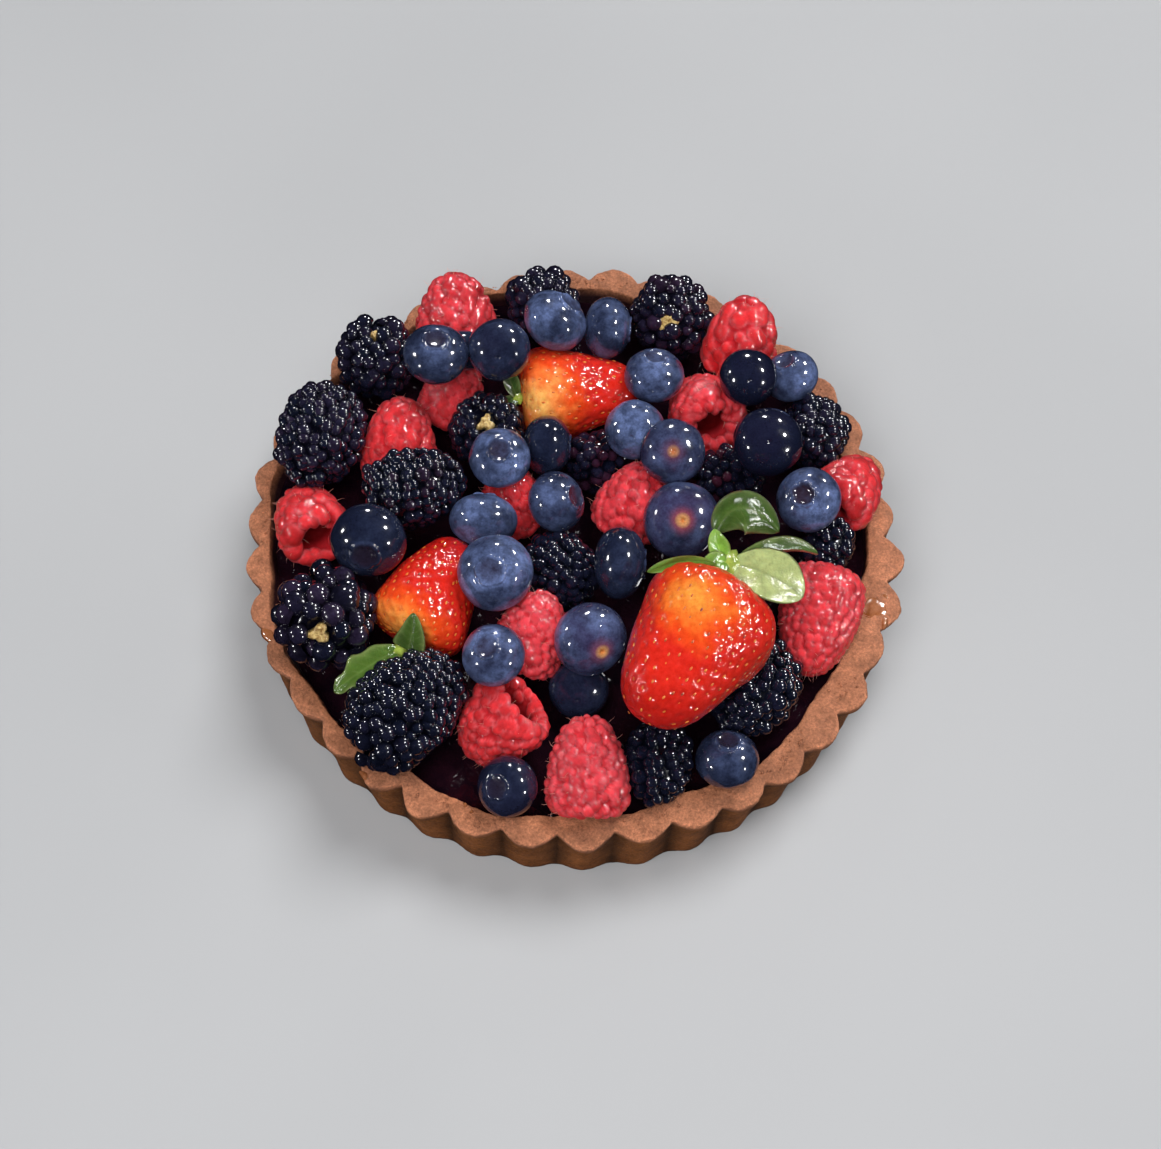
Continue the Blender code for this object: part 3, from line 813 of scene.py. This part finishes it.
def swollen(points, seats, spread):
    """How high each point stands on its drupelet, where drupelets meet in soft creases, and which one it is."""
    centres = np.array([centre for centre, _, _ in seats])
    reach = spread * np.array([size for _, _, size in seats])
    gaps = np.linalg.norm(points[:, None] - centres[None], axis=2)
    caps = np.sqrt(np.clip(1 - (gaps / reach) ** 2, 0, None))
    return (caps**DRUPELET_BLEND).sum(1) ** (1 / DRUPELET_BLEND), caps.argmax(1)


def turned_body(outline, row, columns):
    """The rings of a turned body at an even spacing along its outline: points, outward directions, ring count."""
    rings, directions = along_outline(outline, np.arange(0.6 * row, outline[1][-1] - 0.3 * row, row))
    angle = np.arange(columns) / columns * math.tau
    around = np.column_stack([np.cos(angle), np.sin(angle), np.zeros(columns)])
    points, normals = [(0, 0, outline[0][0][1])], [(0, 0, 1)]
    for (radius, height), (out, up) in zip(rings, directions):
        points.extend(around * radius + (0, 0, height))
        normals.extend(around * out + (0, 0, up))
    points.append((0, 0, outline[0][-1][1]))
    normals.append((0, 0, -1))
    return np.array(points), np.array(normals), len(rings)


def raspberry_material():
    recipe = Recipe(
        "raspberry_drupelets",
        Roughness=0.5,
        Coat_Weight=1.0,
        Coat_Roughness=0.045,
        Specular_IOR_Level=0.03,
        Sheen_Weight=0.1,
        Sheen_Roughness=0.3,
        Sheen_Tint=(1.0, 0.5, 0.55, 1),
        Subsurface_Weight=0.35,
        Subsurface_Radius=(1.0, 0.2, 0.16),
        Subsurface_Scale=1.6 * MM,
    )
    stain = recipe.ramp(recipe.grain(1.3 * MM, 5), (0.3, 0.78), (0.7, 1.16))
    juice_and_shade = recipe.mix(1.0, recipe.painted("juice_and_shade"), stain, "MULTIPLY")
    wet = recipe.bumps(recipe.grain(0.7 * MM, 3), 0.09 * MM)
    return recipe.finish(Base_Color=juice_and_shade, Normal=wet, Coat_Normal=wet)


def hair_strands(points, normals, length):
    """Fine tapering hairs that stand on a berry and curl: points and faces."""
    hair_points, hair_faces = [], []
    for root, normal in zip(points, normals):
        bend = rng.normal(0, 0.5, 3)
        side = np.cross(normal, rng.normal(0, 1, 3))
        side /= np.linalg.norm(side)
        other = np.cross(normal, side)
        first = len(hair_points)
        for step in range(HAIR_STEPS):
            share = step / (HAIR_STEPS - 1)
            middle = root + (normal * share + bend * share**2 * 0.8) * length
            thick = 0.055 * MM * (1 - 0.7 * share)
            for corner in (0, math.tau / 3, 2 * math.tau / 3):
                hair_points.append(middle + (side * math.cos(corner) + other * math.sin(corner)) * thick)
        hair_faces += [face[::-1] for face in ring_faces(first, HAIR_STEPS, 3)]
    return np.array(hair_points), hair_faces


def hair_material():
    return Recipe("berry_hairs", Roughness=0.4, Base_Color=(0.75, 0.32, 0.24, 1)).finish()


RASPBERRY_RED = np.array((0.68, 0.02, 0.02))
RASPBERRY_PINK = np.array((0.78, 0.075, 0.1))
RASPBERRY_CREASE_SHADE = np.array((0.5, 0.012, 0.02))
DRUPELET_RIM_HIGHLIGHT = np.array((0.85, 0.16, 0.18))
CAVITY_SHADE = np.array((0.16, 0.004, 0.006))

thimble_material = raspberry_material()
fine_hair_material = hair_material()
for number, berry in enumerate(RASPBERRIES, 1):
    node = f"raspberry_{number:02d}"
    size = berry.drupelet * MM
    rise = (0.62 - 0.42 * berry.smooth) * size
    mouth = berry.mouth
    hollow = ((mouth / 2 + 0.46, -0.97), (mouth, -0.9), (mouth - 0.08, -0.7), (mouth - 0.16, -0.3), (0.2, -0.15))
    outline = smooth_outline(
        (*RASPBERRY_OUTSIDE, *hollow, (0, -0.12)), berry.width * MM - 1.6 * rise, berry.length * MM - 1.6 * rise
    )
    if berry.rows:
        seats = drupelet_seats(outline, size, 0.1, 0.09, 0.74, rng)
    else:
        spiral = spiral_seats(outline, size * 0.93, 0.74, 0.18)
        seats = [(place, normal, size * max(0.6, 1 + rng.normal(0, berry.uneven))) for place, normal, _ in spiral]
    points, normals, ring_count = turned_body(outline, RASPBERRY_ROW, RASPBERRY_COLUMNS)
    swelling, owner = swollen(points, seats, 0.57 + 0.08 * berry.smooth)
    tint = rng.uniform(0, 1, len(seats))[owner]
    grown = points + normals * (swelling * rise)[:, None]
    grown *= (1 + 0.03 * lumps(points, 7 * MM, number + 70))[:, None]
    open_end = np.clip(-points[:, 2] / (berry.length / 2 * MM), 0, 1)
    grown[:, 0] *= 1 - berry.pinch * open_end
    grown[:, 1] *= 1 + 0.3 * berry.pinch * open_end
    laid = lay(grown, node, berry)
    piece = mesh_piece("glazed_" + node, laid, turned_faces(ring_count, RASPBERRY_COLUMNS), thimble_material)
    facing = np.empty(3 * len(laid), np.float32)
    piece.data.vertex_normals.foreach_get("vector", facing)
    facing = facing.reshape(-1, 3)
    # Drupelets are painted pinker where they face up: partly a frost that differs from drupelet to drupelet, partly
    # painted light from above.
    frost_and_top_light = berry.pink * np.clip(0.35 + 0.5 * tint + 0.5 * facing[:, 2], 0, 1)
    juice_and_shade = RASPBERRY_RED + (RASPBERRY_PINK - RASPBERRY_RED) * frost_and_top_light[:, None]
    # Each drupelet is painted deeper red down towards the creases between drupelets: painted shade.
    swell_share = np.clip((swelling - 0.4) / 0.5, 0, 1)
    juice_and_shade = RASPBERRY_CREASE_SHADE + (juice_and_shade - RASPBERRY_CREASE_SHADE) * (0.4 + 0.6 * swell_share)[:, None]
    # A pale pink band is painted round the side of each drupelet: a painted highlight where the translucent edge
    # catches the light.
    rim_highlight = 0.55 * np.exp(-(((swelling - 0.62) / 0.13) ** 2)) * (1 - 0.6 * berry.smooth)
    juice_and_shade = juice_and_shade + (DRUPELET_RIM_HIGHLIGHT - juice_and_shade) * rim_highlight[:, None]
    juice_and_shade = juice_and_shade * (0.76 + 0.4 * tint)[:, None]
    # The inside of the hollow is painted dark maroon: painted shade in the cavity.
    row_share = np.repeat(np.arange(ring_count) / ring_count, RASPBERRY_COLUMNS)
    inside = np.clip((np.concatenate([[0], row_share, [1]]) - 0.76) / 0.08, 0, 1)[:, None]
    paint(piece, "juice_and_shade", juice_and_shade + (CAVITY_SHADE - juice_and_shade) * inside)
    serve(piece, "raspberry", node)
    rooted = rng.choice(np.flatnonzero((swell_share > 0.5) & (inside[:, 0] == 0)), HAIR_COUNT, replace=False)
    strands, strand_faces = hair_strands(laid[rooted], facing[rooted], 1.3 * MM)
    hairs = mesh_piece(node + "_hairs", strands, strand_faces, fine_hair_material)
    serve(hairs, "raspberry")

# ---------------------------------------------------------------------------------------------------------
# Strawberries. A smooth swollen heart, pale where the sun missed it, with a seed at the bottom of each small
# dimple. The glaze lies over all of it.
# ---------------------------------------------------------------------------------------------------------
Strawberry = namedtuple(
    "Strawberry", "heading tilt width length seed_spacing columns pale_share pale_side share_reach side_reach cream"
)
STRAWBERRIES = (
    Strawberry(65, 10, 24.5, 28, 2.6, 150, 0.95, 8, 0.14, 40, 0.3),
    Strawberry(10, 0, 24, 30, 2.9, 150, 0.86, -40, 0.2, 38, 0.9),
    Strawberry(240, 0, 32, 37.5, 2.9, 210, 0.66, -8, 0.14, 24, 0),
)
STRAWBERRY_OUTLINE = (
    (0, 1), (0.22, 0.97), (0.42, 0.86), (0.59, 0.65), (0.73, 0.36), (0.85, 0.04), (0.95, -0.28),
    (1, -0.55), (0.95, -0.76), (0.77, -0.91), (0.45, -0.98), (0.2, -0.93), (0, -0.88),
)
DIMPLE_RADIUS = 0.8 * MM
DIMPLE_DEPTH = 0.42 * MM
SEED_HALF_SIZES = np.array((0.26, 0.5, 0.16)) * MM


def strawberry_material():
    recipe = Recipe(
        "strawberry_skin",
        Roughness=0.4,
        Coat_Weight=1.0,
        Coat_Roughness=0.03,
        Specular_IOR_Level=0.03,
        Subsurface_Weight=0.25,
        Subsurface_Radius=(1.0, 0.3, 0.12),
        Subsurface_Scale=1.5 * MM,
    )
    stain = recipe.ramp(recipe.grain(1.5 * MM, 6, 0.7), (0.32, (0.88, 0.6, 0.5)), (0.68, (1.12, 1.25, 1.25)))
    flesh = recipe.mix(1.0, recipe.painted("flesh"), stain, "MULTIPLY")
    skin = recipe.bumps(recipe.grain(0.9 * MM, 3), 0.1 * MM)
    wet = recipe.bumps(recipe.grain(1.0 * MM, 1, 0.5), 0.22 * MM)
    return recipe.finish(Base_Color=flesh, Normal=skin, Coat_Normal=wet)


def seed_material():
    recipe = Recipe("strawberry_seeds", Roughness=0.4, Coat_Weight=0.6, Coat_Roughness=0.08)
    husk = recipe.ramp(
        recipe.grain(3 * MM), (0.36, (0.25, 0.025, 0.006)), (0.46, (0.72, 0.15, 0.018)), (0.65, (0.82, 0.27, 0.03))
    )
    return recipe.finish(Base_Color=husk)


STRAWBERRY_RED = np.array((0.68, 0.024, 0.014))
STRAWBERRY_DEEP = np.array((0.5, 0.012, 0.01))
STRAWBERRY_ORANGE = np.array((0.86, 0.1, 0.012))
STRAWBERRY_PALE = np.array((0.86, 0.32, 0.05))
STRAWBERRY_CREAM = np.array((0.95, 0.5, 0.14))
STRAWBERRY_FULLNESS = 1.0

flesh_material = strawberry_material()
husk_material = seed_material()
for number, berry in enumerate(STRAWBERRIES, 1):
    node = f"strawberry_{number:02d}"
    outline = smooth_outline(STRAWBERRY_OUTLINE, berry.width * MM, berry.length * MM)
    seats = spiral_seats(outline, berry.seed_spacing * MM, 0.94, 0.15)
    tree = kdtree.KDTree(len(seats))
    for index, (place, _, _) in enumerate(seats):
        tree.insert(place, index)
    tree.balance()
    points, normals, ring_count = turned_body(outline, 0.45 * MM, berry.columns)
    near = np.array([tree.find(point)[2] for point in points])
    dimple = DIMPLE_DEPTH * np.exp(-((near / DIMPLE_RADIUS) ** 2))
    swell = 0.7 * MM * lumps(points, 9 * MM, number + 40)
    skin = points + normals * (swell - dimple)[:, None]
    share = 0.5 - points[:, 2] / (berry.length * MM)
    side = np.degrees(np.arctan2(points[:, 1], -points[:, 0]))
    mottle = lumps(points, 6 * MM, number + 50) + 0.6 * lumps(points, 2.2 * MM, number + 55)
    along = (share - berry.pale_share) / berry.share_reach
    across = (side - berry.pale_side) / berry.side_reach
    ripe = np.sqrt(along**2 + across**2) + 0.45 * mottle
    pale = np.clip(1.2 - 0.85 * ripe, 0, 1)[:, None]
    orange = np.clip(1.9 - 0.85 * ripe, 0, 1)[:, None]
    deep = np.clip((ripe - 3.4) / 2.5, 0, 1)[:, None]
    flesh = STRAWBERRY_RED + (STRAWBERRY_DEEP - STRAWBERRY_RED) * deep
    flesh = flesh + (STRAWBERRY_ORANGE - flesh) * orange
    unripe = STRAWBERRY_PALE + (STRAWBERRY_CREAM - STRAWBERRY_PALE) * berry.cream
    flesh = flesh + (unripe - flesh) * pale
    unit, unit_faces = dome(8)
    seed_points, seed_faces = [], []
    for place, normal, downward in seats:
        turn = np.column_stack([np.cross(downward, normal), downward, normal])
        first = len(seed_points)
        seed_points.extend((unit * SEED_HALF_SIZES) @ turn.T + place - normal * (DIMPLE_DEPTH - 0.05 * MM))
        seed_faces.extend(tuple(first + index for index in face) for face in unit_faces)
    seed_points = np.array(seed_points)
    swell = 0.7 * MM * lumps(np.repeat([place for place, _, _ in seats], len(unit), axis=0), 9 * MM, number + 40)
    seed_points += np.repeat([normal for _, normal, _ in seats], len(unit), axis=0) * swell[:, None]
    both = lay(np.vstack([skin, seed_points]), node, berry, STRAWBERRY_FULLNESS)
    piece = mesh_piece("glazed_" + node, both[:len(skin)], turned_faces(ring_count, berry.columns), flesh_material)
    paint(piece, "flesh", flesh)
    serve(piece, "strawberry", node)
    seeds = mesh_piece(node + "_seeds", both[len(skin):], seed_faces, husk_material)
    serve(seeds, "strawberry")

# ---------------------------------------------------------------------------------------------------------
# The green tops. Each strawberry that still has one carries a small hub with a few soft leaves, which have
# wilted and curled under the glaze. They are glossy above and paler, with clear veins, below.
# ---------------------------------------------------------------------------------------------------------
Leaf = namedtuple("Leaf", "midrib width widest cup roll end_roll teeth face_up")
GreenTop = namedtuple("GreenTop", "hub hub_size leaves")
GREEN_TOPS = {
    "strawberry_01": GreenTop(
        (-39, -38.5, 37),
        0.5,
        (
            Leaf(((0, 0, 0), (-5, -4, 1.5), (-10, -7, 0), (-14.5, -10, -4)), 8.6, 0.5, 0.22, 20, -10, 3, 0.15),
            Leaf(((2, -0.5, 1), (3, 1.5, 4), (3, 3.5, 6), (3, 6, 7.5)), 7.5, 0.15, 0.1, 0, 0, 0, 0.06),
        ),
    ),
    "strawberry_02": GreenTop(
        (-16, 32, 36),
        0.5,
        (
            Leaf(((0, 0, 0), (-1.5, 1.5, 2), (-2.5, 4, 3), (-3, 6, 3)), 4, 0.5, 0.3, 0, 0, 0, 0),
            Leaf(((0, 0, 0), (-2, -1.5, 1), (-3.5, -3.5, 0), (-4, -5, -2)), 4, 0.5, 0.3, 0, 0, 0, 0),
        ),
    ),
    "strawberry_03": GreenTop(
        (35.2, -22.5, 57.5),
        1.2,
        (
            Leaf(((0, 0, 0.5), (5, -1, 4), (11, -4, 4), (17, -7, 0.5)), 13, 0.58, 0.1, 0, 0, 0, 1),
            Leaf(((2, 1.5, 0), (9, 4.8, 1), (15, 7, -1.5), (21, 7.3, -5.5)), 4.6, 0.5, 0.9, 10, 20, 0, 0.08),
            Leaf(((-3, 8.5, 0), (-1, 14, 4.5), (5, 15, 6), (11.5, 10, -1)), 12, 0.55, -0.35, 5, 0, 0, 0.06),
            Leaf(((-1, 1, 1), (-2.5, 2.5, 2.5), (-3.2, 4.5, 3.5), (-3.6, 7.5, 3.5)), 5, 0.4, 0.2, 0, 0, 0, 0.6),
            Leaf(((0, 0, 1.5), (-2, -0.5, 3.5), (-4, -1.5, 3.5), (-6.2, -3, 2)), 5.5, 0.5, 0.25, 0, 20, 0, 0.5),
            Leaf(((-3, -1.5, 3.5), (-8, -0.5, 4.5), (-13, -1.5, 3.5), (-18.5, -3, 0.5)), 3.2, 0.6, 0.3, 40, 50, 0, 0.3),
        ),
    ),
}
LEAF_STEPS = 44
LEAF_ACROSS = 19
LEAF_THICKNESS = 0.4 * MM
LEAF_DARK = np.array((0.034, 0.068, 0.013))
LEAF_BRIGHT = np.array((0.2, 0.38, 0.045))
LEAF_PALE = np.array((0.4, 0.46, 0.18))
HUB_GREEN = np.array((0.3, 0.38, 0.06))
HUB_COLUMNS = 16


def bezier(corners, share):
    """The place and the heading at a share of the way along a curve pulled by four corners."""
    first, second, third, fourth = (np.array(corner) * MM for corner in corners)
    rest = 1 - share
    place = first * rest**3 + 3 * second * rest**2 * share + 3 * third * rest * share**2 + fourth * share**3
    heading = (second - first) * rest**2 + 2 * (third - second) * rest * share + (fourth - third) * share**2
    return place, heading / np.linalg.norm(heading)


def leaf_mesh(leaf, hub):
    """A leaf from its root out along its bent midrib, as a thin closed body, with its colours."""
    across = np.linspace(-1, 1, LEAF_ACROSS)
    points, colours = [], []
    top_shade = LEAF_DARK + (LEAF_BRIGHT - LEAF_DARK) * min(1, 1.5 * leaf.face_up)
    blade = LEAF_PALE if leaf.face_up == 1 else top_shade
    for step in range(LEAF_STEPS + 1):
        share = step / LEAF_STEPS
        middle, ahead = bezier(leaf.midrib, share)
        level = np.cross(ahead, (0, 0, 1))
        level /= np.linalg.norm(level)
        roll = math.radians(leaf.roll + (leaf.end_roll - leaf.roll) * share)
        normal = np.cross(level, ahead)
        level, normal = (
            level * math.cos(roll) + normal * math.sin(roll), normal * math.cos(roll) - level * math.sin(roll)
        )
        swell = share ** (math.log(0.5) / math.log(leaf.widest))
        half = leaf.width / 2 * MM * (max(0.0, math.sin(math.pi * swell)) ** 0.6 + 0.12 * (1 - share) ** 4)
        half *= 1 - 0.22 * leaf.teeth / 3 * (1 + math.sin(share * math.tau * leaf.teeth)) * share
        if step in (0, LEAF_STEPS):
            points.append(middle + hub)
            colours.append(blade)
            continue
        fold = leaf.cup * half * across**2 - 0.2 * MM * np.exp(-((across / 0.12) ** 2))
        ripple = 0.3 * MM * np.sin(across * 4 + share * 8) * share * half / (leaf.width / 2 * MM)
        side_vein = np.abs(((share * 6 - np.abs(across) * 1.5) % 1) - 0.5)
        vein = np.clip(np.exp(-((across / 0.07) ** 2)) + 0.6 * np.exp(-((side_vein / 0.07) ** 2)), 0, 1)
        for sign in (1, -1):
            for index in range(LEAF_ACROSS)[::sign]:
                thick = sign * LEAF_THICKNESS / 2 * (1 - across[index] ** 4)
                lift = fold[index] + ripple[index] + thick - 0.08 * MM * vein[index]
                points.append(middle + hub + level * across[index] * half + normal * lift)
                edge = abs(across[index]) ** 5
                shade = blade + (LEAF_PALE - blade) * (0.1 * vein[index] + 0.5 * edge)
                colours.append(shade * (1 - 0.35 * vein[index] * (leaf.face_up == 1)))
    return np.array(points), turned_faces(LEAF_STEPS - 1, 2 * LEAF_ACROSS), colours


def hub_points():
    """The small swollen boss that the leaves spring from."""
    angle = np.arange(HUB_COLUMNS) / HUB_COLUMNS * math.tau
    ragged = 1 + 0.18 * np.cos(5 * angle)
    points = [(0, 0, 2.0)]
    for radius, height in ((1.2, 1.9), (2.2, 1.5), (3.0, 0.8), (3.4, 0), (3.0, -0.8)):
        points.extend(np.column_stack([radius * ragged * np.cos(angle), radius * ragged * np.sin(angle), height + 0 * angle]))
    points.append((0, 0, -1.0))
    return np.array(points) * MM, turned_faces(5, HUB_COLUMNS)


def leaf_material():
    recipe = Recipe(
        "strawberry_leaf",
        Roughness=0.45,
        Coat_Weight=0.8,
        Coat_Roughness=0.07,
        Specular_IOR_Level=0.05,
        Subsurface_Weight=0.1,
        Subsurface_Scale=0.5 * MM,
    )
    stain = recipe.ramp(recipe.grain(2.4 * MM, 5), (0.3, 0.72), (0.7, 1.22))
    blade = recipe.mix(1.0, recipe.painted("blade"), stain, "MULTIPLY")
    crinkle = recipe.bumps(recipe.grain(0.9 * MM, 3), 0.15 * MM)
    return recipe.finish(Base_Color=blade, Normal=crinkle, Coat_Normal=crinkle)


green_material = leaf_material()
for node, green_top in GREEN_TOPS.items():
    points, faces = hub_points()
    points = list(points * green_top.hub_size + np.array(green_top.hub) * MM)
    colours = [HUB_GREEN] * len(points)
    for leaf in green_top.leaves:
        leaf_points, leaf_faces, leaf_colours = leaf_mesh(leaf, np.array(green_top.hub) * MM)
        faces.extend(tuple(len(points) + index for index in face) for face in leaf_faces)
        points.extend(leaf_points)
        colours.extend(leaf_colours)
    piece = mesh_piece(node + "_green_top", points, faces, green_material)
    paint(piece, "blade", np.array(colours))
    replaced = [node + "_leaves"] if node + "_leaves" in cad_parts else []
    serve(piece, "leaf", *replaced)

# ---------------------------------------------------------------------------------------------------------
# The camera, the lamps and the floor. The tart is seen from the front and well above. A ring of small round
# lamps gives each wet berry its points of light, and one large soft lamp stands to the right and behind.
# ---------------------------------------------------------------------------------------------------------
CAMERA_ELEVATION = 62.68
CAMERA_ROLL = 3.34
CAMERA_DISTANCE = 0.56
CAMERA_TARGET = Vector((1.81, -9.52, 24)) * MM
SENSOR_WIDTH = 36
LENS = 71.73

elevation, roll = math.radians(CAMERA_ELEVATION), math.radians(CAMERA_ROLL)
back = Vector((0, -math.cos(elevation), math.sin(elevation)))
level_right = Vector((1, 0, 0))
level_up = back.cross(level_right)
right = math.cos(roll) * level_right + math.sin(roll) * level_up
up = -math.sin(roll) * level_right + math.cos(roll) * level_up
camera = bpy.data.objects.new("camera", bpy.data.cameras.new("camera"))
camera.data.sensor_width = SENSOR_WIDTH
camera.data.lens = LENS
camera.data.clip_start = 0.01
camera.matrix_world = Matrix.Translation(CAMERA_TARGET + back * CAMERA_DISTANCE) @ Matrix(
    (right, up, back)
).transposed().to_4x4()
bpy.context.scene.collection.objects.link(camera)
bpy.context.scene.camera = camera

Lamp = namedtuple("Lamp", "azimuth elevation distance radius watts")
LAMPS = (
    Lamp(96, 34, 1.0, 0.07, 5.0),
    Lamp(52, 32, 1.0, 0.07, 6.0),
    Lamp(5, 45, 1.0, 0.08, 8.5),
    Lamp(-30, 20, 1.0, 0.06, 3.5),
    Lamp(178, 18, 1.0, 0.06, 3.0),
    Lamp(212, 18, 1.0, 0.06, 3.0),
)
SOFT_LAMPS = (Lamp(50, 66, 1.3, 0.35, 11.4), Lamp(250, 60, 1.3, 0.45, 12.6))


def aim_lamp(name, lamp, shape="DISK", colour=(1, 1, 1)):
    data = bpy.data.lights.new(name, "AREA")
    data.shape = shape
    data.size = 2 * lamp.radius
    data.energy = lamp.watts
    data.color = colour
    obj = bpy.data.objects.new(name, data)
    azimuth, height = math.radians(lamp.azimuth), math.radians(lamp.elevation)
    away = Vector((math.cos(azimuth) * math.cos(height), math.sin(azimuth) * math.cos(height), math.sin(height)))
    obj.location = away * lamp.distance + Vector((0, 0, 30 * MM))
    obj.rotation_euler = away.to_track_quat("Z", "Y").to_euler()
    bpy.context.scene.collection.objects.link(obj)
    return obj


for number, lamp in enumerate(LAMPS, 1):
    aim_lamp(f"lamp_{number}", lamp).visible_diffuse = False
for number, lamp in enumerate(SOFT_LAMPS, 1):
    aim_lamp(f"soft_lamp_{number}", lamp).visible_glossy = False

world = bpy.data.worlds.new("studio")
world.use_nodes = True
world.node_tree.nodes["Background"].inputs["Color"].default_value = (0.8, 0.84, 0.9, 1)
world.node_tree.nodes["Background"].inputs["Strength"].default_value = 0.1
bpy.context.scene.world = world
world.cycles_visibility.glossy = False
bpy.context.scene.view_settings.view_transform = "Standard"

floor_recipe = Recipe("pale_floor", Roughness=0.7, Specular_IOR_Level=0.2)
floor_tone = floor_recipe.ramp(floor_recipe.grain(0.3, 2), (0.4, (0.45, 0.455, 0.465)), (0.6, (0.48, 0.485, 0.495)))
floor = mesh_piece(
    "floor", [(-4, -4, 0), (4, -4, 0), (4, 4, 0), (-4, 4, 0)], [(0, 1, 2, 3)], floor_recipe.finish(Base_Color=floor_tone)
)
floor.visible_glossy = False
